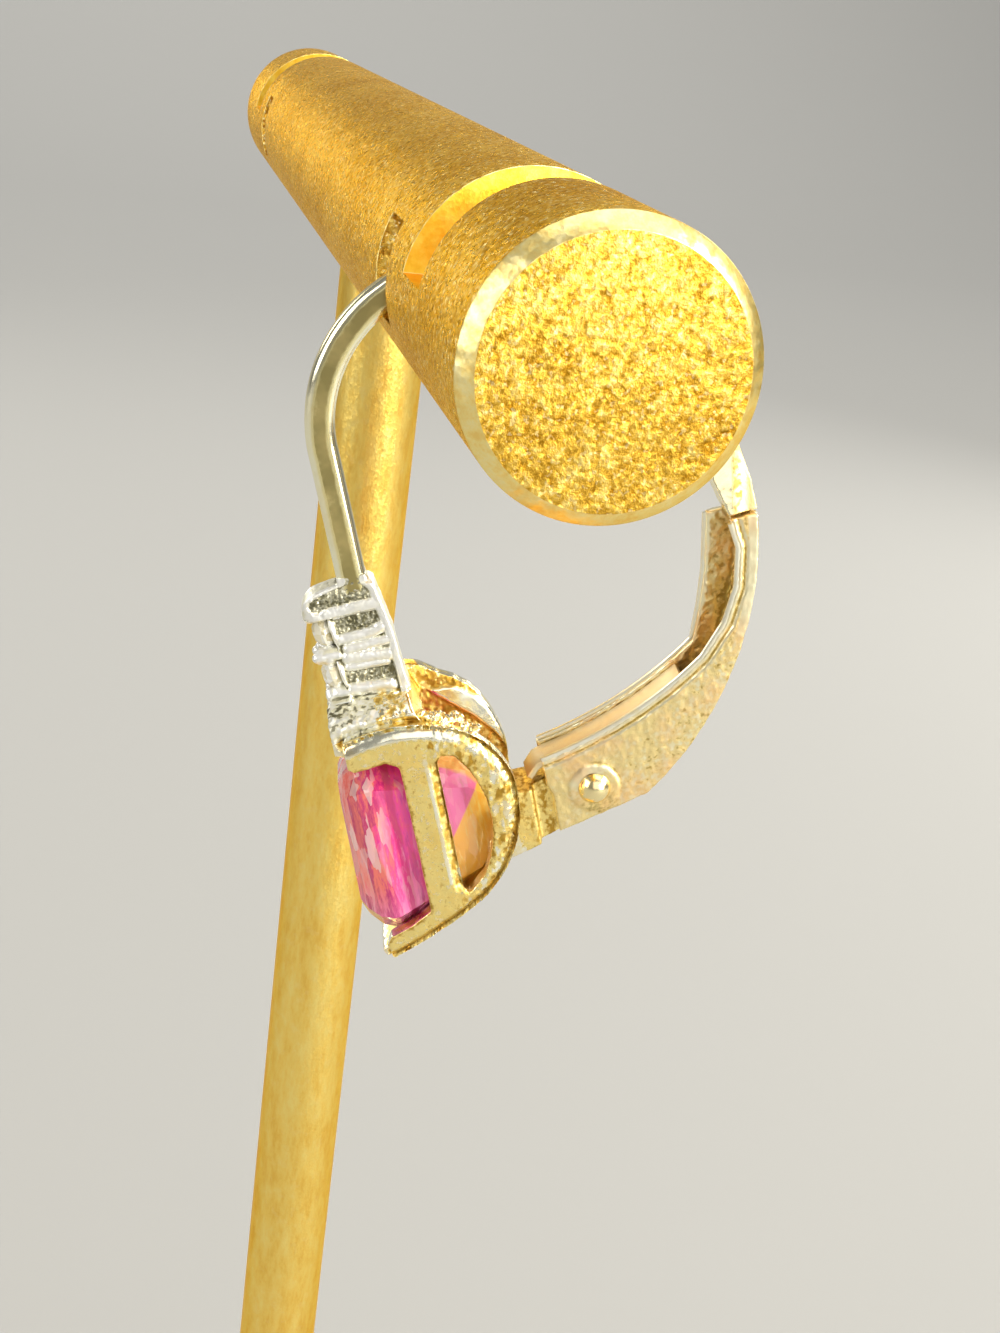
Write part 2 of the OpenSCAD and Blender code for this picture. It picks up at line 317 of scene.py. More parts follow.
def newMaterial(name):
    material = bpy.data.materials.new(name)
    material.use_nodes = True
    return material, material.node_tree


def setShader(tree, inputs):
    for socket, value in inputs.items():
        putIn(tree, tree.nodes["Principled BSDF"].inputs[socket], value)


def objectPoints(tree, stretch=(1, 1, 1)):
    # Object coordinates in millimetres
    coords = addNode(tree, "ShaderNodeTexCoord", "Object", {})
    scale = [share / metre for share in stretch]
    return addNode(tree, "ShaderNodeMapping", "Vector", {"Vector": coords, "Scale": scale})


def noiseNode(tree, points, perMm, detail=3, roughness=0.6):
    return addNode(tree, "ShaderNodeTexNoise", "Fac", {
        "Vector": points, "Scale": perMm, "Detail": detail, "Roughness": roughness})


def cellNode(tree, points, perMm, output="Distance", metric="EUCLIDEAN"):
    return addNode(tree, "ShaderNodeTexVoronoi", output, {
        "Vector": points, "Scale": perMm}, distance=metric)


def rampNode(tree, value, stops):
    ramp = tree.nodes.new("ShaderNodeValToRGB")
    while len(ramp.color_ramp.elements) < len(stops):
        ramp.color_ramp.elements.new(0.5)
    for element, (place, colour) in zip(ramp.color_ramp.elements, stops):
        element.position = place
        element.color = (*colour, 1)
    tree.links.new(value, ramp.inputs["Fac"])
    return ramp.outputs["Color"]


def rangeNode(tree, value, low, high, fromLow=0, fromHigh=1):
    return addNode(tree, "ShaderNodeMapRange", "Result", {
        "Value": value, "From Min": fromLow, "From Max": fromHigh, "To Min": low, "To Max": high})


def bumpNode(tree, height, strength, depth, normal=None):
    inputs = {"Height": height, "Strength": strength, "Distance": depth * metre}
    if normal is not None:
        inputs["Normal"] = normal
    return addNode(tree, "ShaderNodeBump", "Normal", inputs)


def mathNode(tree, operation, *values):
    return addNode(tree, "ShaderNodeMath", "Value", dict(enumerate(values)), operation=operation)


def plus(tree, first, second):
    return mathNode(tree, "ADD", first, second)


def minus(tree, first, second):
    return mathNode(tree, "SUBTRACT", first, second)


def times(tree, first, second):
    return mathNode(tree, "MULTIPLY", first, second)


def mixColour(tree, share, first, second):
    # The colour sockets of the mix node are 6 and 7, and its colour comes out at 2
    return addNode(tree, "ShaderNodeMix", 2, {0: share, 6: first, 7: second}, data_type="RGBA")


def splitNode(tree, kind, value):
    node = tree.nodes.new(kind)
    tree.links.new(value, node.inputs[0])
    return node.outputs


def facetedNormal(tree, cells, amount):
    # The surface's normal, turned a little differently in each cell
    kind = "ShaderNodeVectorMath"
    normal = addNode(tree, "ShaderNodeNewGeometry", "Normal", {})
    centred = addNode(tree, kind, "Vector", {0: cells, 1: (0.5, 0.5, 0.5)}, operation="SUBTRACT")
    turned = addNode(tree, kind, "Vector", {
        0: centred, 1: (amount, amount, amount), 2: normal}, operation="MULTIPLY_ADD")
    return addNode(tree, kind, "Vector", {0: turned}, operation="NORMALIZE")


# Golds of the stand: colours from the grain's hollows to its tops, grain and pits per millimetre and their
# depths, roughness from cell to cell, how much the cells slant, and the share of painted glints, bright
# flecks painted into the colour as the grain's sparkle
standGolds = {
    "sandblastedGold": {"colours": ((0.52, 0.24, 0.02), (0.80, 0.46, 0.06), (1.0, 0.74, 0.20)),
                        "grainPerMm": 6.5, "pitPerMm": 9, "depths": (0.06, 0.004), "roughness": (0.14, 0.50),
                        "slant": 0.55, "paintedGlints": 0.9},
    "endFaceGold": {"colours": ((0.46, 0.22, 0.012), (0.84, 0.50, 0.06), (1.0, 0.80, 0.26)),
                    "grainPerMm": 6, "pitPerMm": 10, "depths": (0.06, 0.003), "roughness": (0.26, 0.50),
                    "slant": 0.30, "paintedGlints": 0.4},
    "satinGold": {"colours": ((0.92, 0.58, 0.11), (0.98, 0.69, 0.16), (1.0, 0.78, 0.24)),
                  "grainPerMm": 2.2, "pitPerMm": 9, "depths": (0.02, 0.006), "roughness": (0.28, 0.40),
                  "slant": 0.08, "paintedGlints": 0.1, "stretch": (1, 1, 0.3)},
    # Rubbed edges, painted lighter as a highlight along the bar's bevels
    "rubbedSheenGold": {"colours": ((0.96, 0.68, 0.20), (1.0, 0.80, 0.30), (1.0, 0.88, 0.46)),
                   "grainPerMm": 3, "pitPerMm": 9, "depths": (0.01, 0.004), "roughness": (0.28, 0.40),
                   "slant": 0.05, "paintedGlints": 0},
    "milledGold": {"colours": ((0.90, 0.48, 0.03), (0.96, 0.57, 0.05), (1.0, 0.68, 0.10)),
                   "grainPerMm": 2.5, "pitPerMm": 9, "depths": (0.015, 0.004), "roughness": (0.34, 0.46),
                   "slant": 0.05, "paintedGlints": 0},
}
# What all of them share
grainLook = {"tonePerMm": 0.25, "grainShare": 0.75, "toneShare": 0.25, "stops": (0.38, 0.5, 0.66),
             "glintFiner": 1.3, "glintRange": (0.58, 0.66), "glintColour": (1.0, 0.86, 0.46),
             "tint": (1.0, 0.74, 0.34), "grainBump": 0.9, "pitBump": 0.7}


def makeStandGold(name, look):
    material, tree = newMaterial(name)
    even = objectPoints(tree)
    stretched = objectPoints(tree, look.get("stretch", (1, 1, 1)))
    grain = noiseNode(tree, stretched, look["grainPerMm"], 4, 0.7)
    tone = noiseNode(tree, stretched, grainLook["tonePerMm"], 2)
    cells = cellNode(tree, even, look["pitPerMm"], "Color")
    pits = cellNode(tree, even, look["pitPerMm"])
    fromGrain = times(tree, grain, grainLook["grainShare"])
    mixed = plus(tree, fromGrain, times(tree, tone, grainLook["toneShare"]))
    colour = rampNode(tree, mixed, list(zip(grainLook["stops"], look["colours"])))
    # Painted glints: bright flecks mixed into the base colour stand in for the grain's sparkle
    paintedGlints = noiseNode(tree, even, look["grainPerMm"] * grainLook["glintFiner"], 2, 0.5)
    glintShare = rangeNode(tree, paintedGlints, 0, look["paintedGlints"], *grainLook["glintRange"])
    grainDepth, pitDepth = look["depths"]
    slanted = facetedNormal(tree, cells, look["slant"])
    coarse = bumpNode(tree, grain, grainLook["grainBump"], grainDepth, slanted)
    setShader(tree, {"Base Color": mixColour(tree, glintShare, colour, grainLook["glintColour"]),
                     "Metallic": 1, "Specular Tint": grainLook["tint"],
                     "Roughness": rangeNode(tree, cells, *look["roughness"]),
                     "Normal": bumpNode(tree, pits, grainLook["pitBump"], pitDepth, coarse)})
    return material


# Cast and worked metals: colours by relief, from painted shade in the hollows to a painted highlight on
# the edges, a warmer tone and its share, speckle and patches as number per millimetre and strength,
# roughness from hollows to edges, and bump
castMetals = {
    "paleGold": {"hollow": (0.48, 0.28, 0.04), "plain": (0.95, 0.76, 0.28), "edge": (1.0, 0.98, 0.80),
                 "warm": (0.98, 0.68, 0.18), "warmShare": 0.5, "speckle": (7, 1.0), "patches": (1.2, 0.4),
                 "roughness": (0.46, 0.2), "bump": 0.5},
    "whiteGold": {"hollow": (0.18, 0.17, 0.10), "plain": (0.88, 0.86, 0.70), "edge": (1.0, 1.0, 0.96),
                  "warm": (0.95, 0.92, 0.72), "warmShare": 0.3, "speckle": (9, 0.9), "patches": (2.2, 0.3),
                  "roughness": (0.5, 0.4), "bump": 0.4},
    "castGold": {"hollow": (0.42, 0.30, 0.08), "plain": (0.88, 0.71, 0.33), "edge": (1.0, 0.92, 0.62),
                 "warm": (0.98, 0.62, 0.29), "warmShare": 0.6, "speckle": (5.5, 0.7), "patches": (0.7, 0.5),
                 "roughness": (0.5, 0.3), "bump": 0.5},
    "wireGold": {"hollow": (0.42, 0.35, 0.14), "plain": (0.92, 0.83, 0.44), "edge": (1.0, 0.97, 0.74),
                 "warm": (0.97, 0.78, 0.34), "warmShare": 0.3, "speckle": (3, 0.4), "patches": (0.9, 0.2),
                 "roughness": (0.3, 0.14), "bump": 0.1},
    "springMetal": {"hollow": (0.30, 0.20, 0.09), "plain": (0.90, 0.78, 0.54), "edge": (1.0, 0.92, 0.70),
                    "warm": (0.90, 0.68, 0.38), "warmShare": 0.5, "speckle": (6, 0.5), "patches": (1.0, 0.3),
                    "roughness": (0.55, 0.36), "bump": 0.25},
    "rimGold": {"hollow": (0.50, 0.40, 0.18), "plain": (0.96, 0.85, 0.52), "edge": (1.0, 0.97, 0.80),
                "warm": (1.0, 0.84, 0.50), "warmShare": 0.3, "speckle": (5, 0.4), "patches": (1.5, 0.2),
                "roughness": (0.4, 0.3), "bump": 0.12},
    "brightGold": {"hollow": (0.50, 0.36, 0.14), "plain": (0.97, 0.84, 0.46), "edge": (1.0, 0.95, 0.74),
                   "warm": (1.0, 0.80, 0.40), "warmShare": 0.3, "speckle": (7, 0.4), "patches": (2, 0.2),
                   "roughness": (0.28, 0.12), "bump": 0.12},
}
# What all of them share: the colour taken at each height, the speckle's strength from flat ground to edges,
# where patches turn warm, where roughness changes, and the depths of the bump
castLook = {"stops": ((0.22, "hollow"), (0.42, "plain"), (0.58, "plain"), (0.8, "edge")),
            "calm": (1, 0.12, 0.6, 0.86), "warmRange": (0.45, 0.65), "roughRange": (0.3, 0.75),
            "fineDepth": 0.03, "patchDepth": 0.08, "patchBump": 0.4}


def makeCastMetal(name, look):
    # Hollows are rough and darkened with painted shade, edges are rubbed and painted bright as a highlight,
    # and flat ground is finely speckled
    material, tree = newMaterial(name)
    points = objectPoints(tree)
    relief = addNode(tree, "ShaderNodeAttribute", "Fac", {}, attribute_name="relief")
    specklePerMm, speckleHeight = look["speckle"]
    patchPerMm, patchHeight = look["patches"]
    speckle = noiseNode(tree, points, specklePerMm, 4, 0.65)
    patches = noiseNode(tree, points, patchPerMm)
    calm = rangeNode(tree, relief, *castLook["calm"])
    spread = times(tree, minus(tree, speckle, 0.5), times(tree, calm, speckleHeight))
    drift = times(tree, minus(tree, patches, 0.5), patchHeight)
    height = plus(tree, relief, plus(tree, spread, drift))
    colour = rampNode(tree, height, [(place, look[tone]) for place, tone in castLook["stops"]])
    warm = rangeNode(tree, patches, 0, look["warmShare"], *castLook["warmRange"])
    fine = bumpNode(tree, speckle, times(tree, calm, look["bump"]), castLook["fineDepth"])
    patchBump = look["bump"] * castLook["patchBump"]
    setShader(tree, {"Base Color": mixColour(tree, warm, colour, look["warm"]), "Metallic": 1,
                     "Roughness": rangeNode(tree, height, *look["roughness"], *castLook["roughRange"]),
                     "Normal": bumpNode(tree, patches, patchBump, castLook["patchDepth"], fine)})
    return material


# Colours of the main stone from its front to its back, of the reflections between its facets, and of
# the part behind the rail, the lower half of which mirrors the gold around it; then where each begins
# and ends, in the earring's u, v and w
pinkLook = {"front": (1.0, 0.20, 0.15), "middle": (0.96, 0.04, 0.30), "back": (0.92, 0.03, 0.54),
            "low": (0.96, 0.26, 0.66), "glint": (1.0, 0.76, 0.72), "deep": (0.48, 0.008, 0.12),
            "gold": (1.0, 0.50, 0.06), "goldGlint": (1.0, 0.78, 0.24), "behind": (0.98, 0.32, 0.42),
            "shardsPerMm": 1.7, "stretch": (1.3, 1, 0.24), "shardTurn": (0, 0.12, 0.3), "slant": 0.4,
            "transmission": 0.2, "ior": 1.76, "depthU": (-3.7, -1.6), "lowW": (-16.7, -15.6),
            "streakU": -2.55, "frontU": (-3.1, -2.7), "hiddenU": (-1.36, -1.3), "betweenV": (-0.8, -0.7),
            "mirrorSlope": 1.4, "mirrorEdge": (-13.25, -13.15)}


def makePinkStone():
    look = pinkLook
    material, tree = newMaterial("pinkStone")
    place = addNode(tree, "ShaderNodeAttribute", "Vector", {}, attribute_name="place")
    stretched = addNode(tree, "ShaderNodeMapping", "Vector", {
        "Vector": place, "Scale": look["stretch"], "Rotation": look["shardTurn"]})
    shards = cellNode(tree, stretched, look["shardsPerMm"], "Color", "MANHATTAN")
    splinters = cellNode(tree, stretched, look["shardsPerMm"] * 2.3, "Color", "MANHATTAN")
    streaks = noiseNode(tree, stretched, 4.5, 4, 0.75)
    red, green, blue = splitNode(tree, "ShaderNodeSeparateColor", shards)
    fineRed, fineGreen = splitNode(tree, "ShaderNodeSeparateColor", splinters)[:2]
    u, v, w = splitNode(tree, "ShaderNodeSeparateXYZ", place)
    wave = times(tree, minus(tree, streaks, 0.5), 1.6)
    shift = plus(tree, wave, times(tree, minus(tree, red, 0.5), 0.3))
    depth = plus(tree, rangeNode(tree, u, 0, 1, *look["depthU"]), shift)
    body = rampNode(tree, depth, [(0.15, look["front"]), (0.45, look["middle"]), (0.85, look["back"])])
    towardsFoot = rangeNode(tree, plus(tree, w, shift), 0.65, 0, *look["lowW"])
    lower = mixColour(tree, towardsFoot, body, look["low"])
    # Dark streaks, a dark line and dark splinters are painted shade inside the stone, and the pale glints
    # are painted highlights
    dark = rangeNode(tree, plus(tree, streaks, times(tree, green, 0.2)), 0, 0.8, 0.6, 0.8)
    shaded = mixColour(tree, dark, lower, look["deep"])
    fromStreak = minus(tree, plus(tree, u, times(tree, wave, 0.22)), look["streakU"])
    streak = rangeNode(tree, mathNode(tree, "ABSOLUTE", fromStreak), 0.75, 0, 0.07, 0.15)
    lined = mixColour(tree, streak, shaded, look["deep"])
    splinterShade = mixColour(tree, rangeNode(tree, fineRed, 0, 0.35, 0.62, 0.9), lined, look["deep"])
    nearFront = rangeNode(tree, u, 1, 0.25, *look["frontU"])
    frontGlints = times(tree, nearFront, rangeNode(tree, fineGreen, 0, 0.6, 0.78, 0.92))
    sparked = mixColour(tree, frontGlints, splinterShade, look["glint"])
    glints = rangeNode(tree, plus(tree, blue, times(tree, wave, 0.4)), 0, 0.4, 0.88, 1.04)
    lit = mixColour(tree, glints, sparked, look["glint"])
    # Behind the rail it is paler, as a painted glint, and gold below a slanting line and away from the
    # window, as a painted reflection of the gold around it
    hidden = rangeNode(tree, u, 0, 1, *look["hiddenU"])
    upper = mixColour(tree, times(tree, hidden, 0.5), lit, look["behind"])
    gold = mixColour(tree, rangeNode(tree, streaks, 0, 0.8, 0.5, 0.68), look["gold"], look["goldGlint"])
    slanted = minus(tree, w, times(tree, u, look["mirrorSlope"]))
    between = rangeNode(tree, v, 0, 0.8, *look["betweenV"])
    mirrored = mathNode(tree, "MAXIMUM", between, rangeNode(tree, slanted, 1, 0, *look["mirrorEdge"]))
    setShader(tree, {"Base Color": mixColour(tree, times(tree, hidden, mirrored), upper, gold),
                     "Normal": facetedNormal(tree, shards, look["slant"]),
                     "Roughness": 0.05, "IOR": look["ior"], "Transmission Weight": look["transmission"],
                     "Coat Weight": 0.25, "Coat Roughness": 0.02})
    return material


# The clear stones' colours, dark cream to white from cell to cell, are painted reflections of their facets
clearLook = {"colours": [(0.25, (0.66, 0.58, 0.36)), (0.5, (0.98, 0.91, 0.68)), (0.75, (1, 1, 0.93))],
             "cellsPerMm": 4, "slant": 0.4, "transmission": 0.15, "ior": 2.0}


def makeClearStone():
    look = clearLook
    material, tree = newMaterial("clearStone")
    cells = cellNode(tree, objectPoints(tree), look["cellsPerMm"], "Color")
    setShader(tree, {"Base Color": rampNode(tree, cells, look["colours"]),
                     "Normal": facetedNormal(tree, cells, look["slant"]),
                     "Roughness": 0.05, "IOR": look["ior"], "Transmission Weight": look["transmission"]})
    return material


metals = {name: makeStandGold(name, look) for name, look in standGolds.items()}
metals.update({name: makeCastMetal(name, look) for name, look in castMetals.items()})
pinkStone = makePinkStone()
clearStone = makeClearStone()
print("materials made")


# Display stand

# The last row tells the bar's faces apart, by their direction, place and area
bar = {"d": 6.5, "length": 61.5, "height": 100, "chamfer": 0.35, "cutInset": 5.5, "cutWidth": 2.4,
       "cutFloor": 0.45, "slotInset": 11, "slotWidth": 1.8, "slotFloor": -1.26, "slotRoof": 1.35,
       "edge": 0.11, "edgeAngle": 28, "edgeSegments": 3, "segments": 144, "rings": 44,
       "finishes": ["sandblastedGold", "rubbedSheenGold", "milledGold", "endFaceGold"],
       "nearly": 0.02, "skin": 0.03, "endsClear": 1, "leastArea": 0.02, "milledAbove": 0.4}


def boxMesh(low, high):
    bm = bmesh.new()
    bmesh.ops.create_cube(bm, size=1)
    size = [b - a for a, b in zip(low, high)]
    middle = [(a + b) / 2 for a, b in zip(low, high)]
    bmesh.ops.scale(bm, vec=size, verts=bm.verts)
    bmesh.ops.translate(bm, vec=middle, verts=bm.verts)
    return meshFromBmesh("cutter", bm)


def barFinish(face, r, half):
    # Blasted outside and in the slots, rubbed along the edges and painted lighter there as a highlight,
    # milled in the top cuts, grained at the ends
    middle, normal, nearly = face.center, face.normal, bar["nearly"]
    alongBar = abs(normal.y) > 1 - nearly
    acrossBar = abs(math.hypot(normal.x, normal.z) - 1) < nearly
    if alongBar and abs(middle.y) > half - nearly:
        return "endFaceGold"
    if acrossBar and math.hypot(middle.x, middle.z) > r - bar["skin"]:
        return "sandblastedGold"
    inside = abs(middle.y) < half - bar["endsClear"] and face.area > bar["leastArea"]
    if inside and (alongBar or normal.z > 1 - nearly):
        return "milledGold" if middle.z > bar["milledAbove"] else "sandblastedGold"
    return "rubbedSheenGold"


def makeStandBar():
    r, half, c = bar["d"] / 2, bar["length"] / 2, bar["chamfer"]
    rings = [(r, y) for y in np.linspace(c - half, half - c, bar["rings"])]
    profile = [(0, -half), (r - c, -half)] + rings + [(r - c, half), (0, half)]
    mesh = latheMesh("standBar", profile, bar["segments"])
    mesh.transform(Matrix.Rotation(math.radians(90), 4, "X"))
    piece = newPiece("standBar", mesh)
    cutters = []
    for side in (-1, 1):
        spans = [
            (bar["cutInset"], bar["cutWidth"], bar["cutFloor"], bar["d"]),
            (bar["slotInset"] - bar["slotWidth"] / 2, bar["slotWidth"], bar["slotFloor"], bar["slotRoof"]),
        ]
        for inset, width, low, high in spans:
            ends = sorted([side * (half - inset), side * (half - inset - width)])
            cutter = boxMesh((-bar["d"], ends[0], low), (bar["d"], ends[1], high))
            cutters.append(newPiece("cutter", cutter))
    for cutter in cutters:
        cut = piece.modifiers.new("cut", "BOOLEAN")
        cut.operation = "DIFFERENCE"
        cut.solver = "EXACT"
        cut.object = cutter
    bevelEdges(piece, bar)
    even = piece.modifiers.new("even", "WEIGHTED_NORMAL")
    even.weight = 80
    applyModifiers(piece)
    for cutter in cutters:
        bpy.data.objects.remove(cutter)
    choice = [bar["finishes"].index(barFinish(face, r, half)) for face in piece.data.polygons]
    lift = standToWorld @ Matrix.Translation((0, 0, bar["height"]))
    finishPiece(piece, lift, bar["finishes"], 35, choice)
    return dress(piece, "stand_bar")


post = {"d": 3.4, "baseTop": 6, "fillet": 0.5, "collar": 0.25, "intoBar": 0.35, "rings": 24, "segments": 96,
        "filletFrom": 0.1, "filletSteps": 8}


def makeStandPost():
    r, low, high = post["d"] / 2, post["baseTop"], bar["height"] - bar["d"] / 2 + post["intoBar"]
    f, rings = post["fillet"], post["rings"]
    profile = [(0, low), (r + f, low)]
    turns = np.linspace(post["filletFrom"], math.pi / 2, post["filletSteps"])
    profile += [(r + f * (1 - math.sin(a)), low + f * (1 - math.cos(a))) for a in turns]
    profile += [(r, low + (high - low) * k / rings) for k in range(1, rings)]
    profile += [(r, high - post["collar"]), (r, high), (0, high)]
    piece = newPiece("standPost", latheMesh("standPost", profile, post["segments"]))
    finishPiece(piece, standToWorld, ["satinGold"], 40)
    return dress(piece, "stand_post")


base = {"d": 52, "h": 6, "edge": 0.8, "edgeSteps": 9, "footEdge": 0.3, "footTurn": 0.08, "rings": 12,
        "segments": 192}


def makeStandBase():
    r, h, e = base["d"] / 2, base["h"], base["edge"]
    foot, turn, rings = base["footEdge"], base["footTurn"], base["rings"]
    profile = [(0, 0), (r - foot, 0), (r - turn, turn), (r, foot)]
    turns = np.linspace(0, math.pi / 2, base["edgeSteps"])
    profile += [(r - e + e * math.cos(a), h - e + e * math.sin(a)) for a in turns]
    profile += [(r * k / rings, h) for k in range(rings - 1, 0, -1)] + [(0, h)]
    piece = newPiece("standBase", latheMesh("standBase", profile, base["segments"]))
    finishPiece(piece, standToWorld, ["sandblastedGold"], 40)
    return dress(piece, "stand_base")


makeStandBar()
makeStandPost()
makeStandBase()
print("stand made")


# Ear wire: a square section with eased corners, swept along its path by Geometry Nodes

wire = {"width": 0.8, "height": 0.8, "corner": 0.2, "step": 0.1, "facet": 0.09}


def arcPoints(p, q, r, count=14):
    # Points on the circle from p through q to r
    d = 2 * (p[0] * (q[1] - r[1]) + q[0] * (r[1] - p[1]) + r[0] * (p[1] - q[1]))
    pp, qq, rr = (a[0] ** 2 + a[1] ** 2 for a in (p, q, r))
    cx = (pp * (q[1] - r[1]) + qq * (r[1] - p[1]) + rr * (p[1] - q[1])) / d
    cy = (pp * (r[0] - q[0]) + qq * (p[0] - r[0]) + rr * (q[0] - p[0])) / d
    start = math.atan2(p[1] - cy, p[0] - cx)
    end = math.atan2(r[1] - cy, r[0] - cx)
    left = (q[0] - p[0]) * (r[1] - q[1]) - (q[1] - p[1]) * (r[0] - q[0]) > 0
    sweep = (end - start) % (2 * math.pi) if left else -((start - end) % (2 * math.pi))
    radius = math.hypot(p[0] - cx, p[1] - cy)
    angles = [start + sweep * i / count for i in range(count + 1)]
    return [(cx + radius * math.cos(a), cy + radius * math.sin(a)) for a in angles]


wirePath = (
    [(-2.33, -7.2), (-2.33, -6), (-2.33, -4.8), (-2.33, -4)]
    + arcPoints((-2.33, -3.1), (-1.52, -0.87), (0.1, 0.42))
    + arcPoints((0.1, 0.42), (2.2, 0.93), (4.6, 0.33))[1:]
    + arcPoints((4.6, 0.33), (7.05, -1.9), (8.1, -5.35))[1:]
)


def sweepTree():
    tree, given = newTree("sweepAlongPath", {
        "Path": "Geometry", "Width": "Float", "Height": "Float", "Corner": "Float", "Facet": "Float",
        "Step": "Float", "Finish": "Material"}, "Swept")
    resample, length = "GeometryNodeResampleCurve", "LENGTH"
    curve = addNode(tree, "GeometryNodeMeshToCurve", "Curve", {"Mesh": given["Path"]})
    even = addNode(tree, resample, "Curve", {"Curve": curve, "Length": given["Step"]}, mode=length)
    upright = addNode(tree, "GeometryNodeSetCurveNormal", "Curve", {"Curve": even}, mode="Z_UP")
    section = addNode(tree, "GeometryNodeCurvePrimitiveQuadrilateral", "Curve", {
        "Width": given["Width"], "Height": given["Height"]})
    rounded = addNode(tree, "GeometryNodeFilletCurve", "Curve", {
        "Curve": section, "Radius": given["Corner"], "Count": 3}, mode="POLY")
    fine = addNode(tree, resample, "Curve", {"Curve": rounded, "Length": given["Facet"]}, mode=length)
    skin = addNode(tree, "GeometryNodeCurveToMesh", "Mesh", {
        "Curve": upright, "Profile Curve": fine, "Fill Caps": True})
    return endTree(tree, skin, given["Finish"])


def sweptPiece(name, tree, path, form, finish, atV=0):
    # The path lies flat while it is swept, with v as its third axis, and is then stood up
    bm = bmesh.new()
    points = [bm.verts.new((u, w, 0)) for u, w in path]
    for a, b in zip(points, points[1:]):
        bm.edges.new((a, b))
    piece = newPiece(name, meshFromBmesh(name, bm))
    sweep = piece.modifiers.new("sweep", "NODES")
    sweep.node_group = tree
    setInputs(sweep, {"Finish": metals[finish], **{socket.title(): form[socket] for socket in wire}})
    applyModifiers(piece)
    piece.data.transform(Matrix.Translation((0, atV, 0)) @ Matrix.Rotation(math.radians(90), 4, "X"))
    return piece


def makeEarWire(tree):
    piece = sweptPiece("earWire", tree, wirePath, wire, "wireGold")
    # Painted highlights along its corners, and painted darker along the middle of each side as a dark
    # reflection
    points = readVerts(piece.data)
    across = np.minimum(np.abs(points[:, 1]), distanceToPath(points[:, [0, 2]], wirePath))
    storeRelief(piece.data, 0.16 + 0.74 * smoothStep(across / (wire["width"] / 2), 0.3, 0.75))
    finishPiece(piece, earringToWorld, ["wireGold"], 32)
    return dress(piece, "hook_and_settings")


sweepAlong = sweepTree()
makeEarWire(sweepAlong)
print("ear wire made")


# Settings and lever: welded from the solids' own shapes. A form has its voxel and smoothing, the size and
# height of its lumps, and the rounds and the full height by which its relief is measured. A pair says
# where something begins and where it is full: a place, or for turns how far the surface faces sideways.
# Heights without a minus are counted downwards.

seam = {"wireEnd": -6.74, "settings": -10.22, "accentBack": 2}


def addPlate(bm, outline, low, high):
    # An outline in u and w, made solid from one v to another
    sides = [[bm.verts.new((u, v, w)) for u, w in outline] for v in (low, high)]
    made = [bm.faces.new(sides[0]), bm.faces.new(sides[1][::-1])]
    for i in range(len(outline)):
        j = (i + 1) % len(outline)
        made.append(bm.faces.new((sides[0][i], sides[1][i], sides[1][j], sides[0][j])))
    bmesh.ops.recalc_face_normals(bm, faces=made)


# The wire's tip widens to the lever's walls: outline in u and w, half widths by height, and a slanting
# ridge on both sides between the polished inner part and the darker band, which is grained painted shade
tipForm = {"voxel": 0.026, "smoothing": 4, "lumps": (0.3, 0.006), "relief": (20, 0.02), "half": 0.4,
           "slope": 0.12, "slopeRun": 0.5, "sideTurn": (0.4, 0.7), "bandFrom": (0, 0.06),
           "bandTo": (0.26, 0.32), "bandGrain": 0.16,
           "outline": [(7.72, -5.0), (7.74, -6.08), (7.98, -6.95), (8.12, -7.32), (8.36, -7.1),
                       (8.84, -7.08), (8.79, -6.2), (8.56, -5.0)],
           "flare": [(-7.3, 0.40), (-7.12, 0.44), (-7.06, 0.70), (-6.3, 0.58), (-5.5, 0.42), (-5, 0.37)],
           "ridge": [(-7.1, 8.12), (-6.4, 8.2), (-5.64, 8.32), (-5.0, 8.5)]}


def behindRidge(points):
    return points[:, 0] - np.interp(points[:, 2], *zip(*tipForm["ridge"]))


def shapeTip(points, normals):
    # Wider towards its end, with its near and far sides sloping back behind the ridge
    width = np.interp(points[:, 2], *zip(*tipForm["flare"]))
    shaped = points.copy()
    slope = tipForm["slope"] * smoothStep(behindRidge(points), 0, tipForm["slopeRun"])
    shaped[:, 1] = points[:, 1] / tipForm["half"] * (width - slope)
    return shaped


def makeWireTip():
    bm = bmesh.new()
    addPlate(bm, tipForm["outline"], -tipForm["half"], tipForm["half"])
    piece = fused("wireTip", bm, tipForm, shapeTip)
    points, normals = readVerts(piece.data), readNormals(piece.data)
    behind = behindRidge(points)
    side = smoothStep(np.abs(normals[:, 1]), *tipForm["sideTurn"])
    shadedBand = side * smoothStep(behind, *tipForm["bandFrom"]) * fade(behind, *tipForm["bandTo"])
    # The band behind the ridge is darkened as painted shade, with a grain
    storeRelief(piece.data, layered(readRelief(piece.data), [
        (side, 0.7),
        (side * smoothStep(behind, -0.02, 0.04), 0.5),
        (shadedBand, 0.34 + 0.4 * noiseAt(points, tipForm["bandGrain"])),
    ]))
    outer = behindRidge(readCentres(piece.data)) > 0.02
    finishPiece(piece, earringToWorld, ["wireGold", "castGold"], choice=outer)
    return dress(piece, "hook_and_settings")


accentStones = {"d": 0.88, "girdleU": -3.42, "lean": 8, "levels": {"upper": -8.27, "lower": -9.53}}
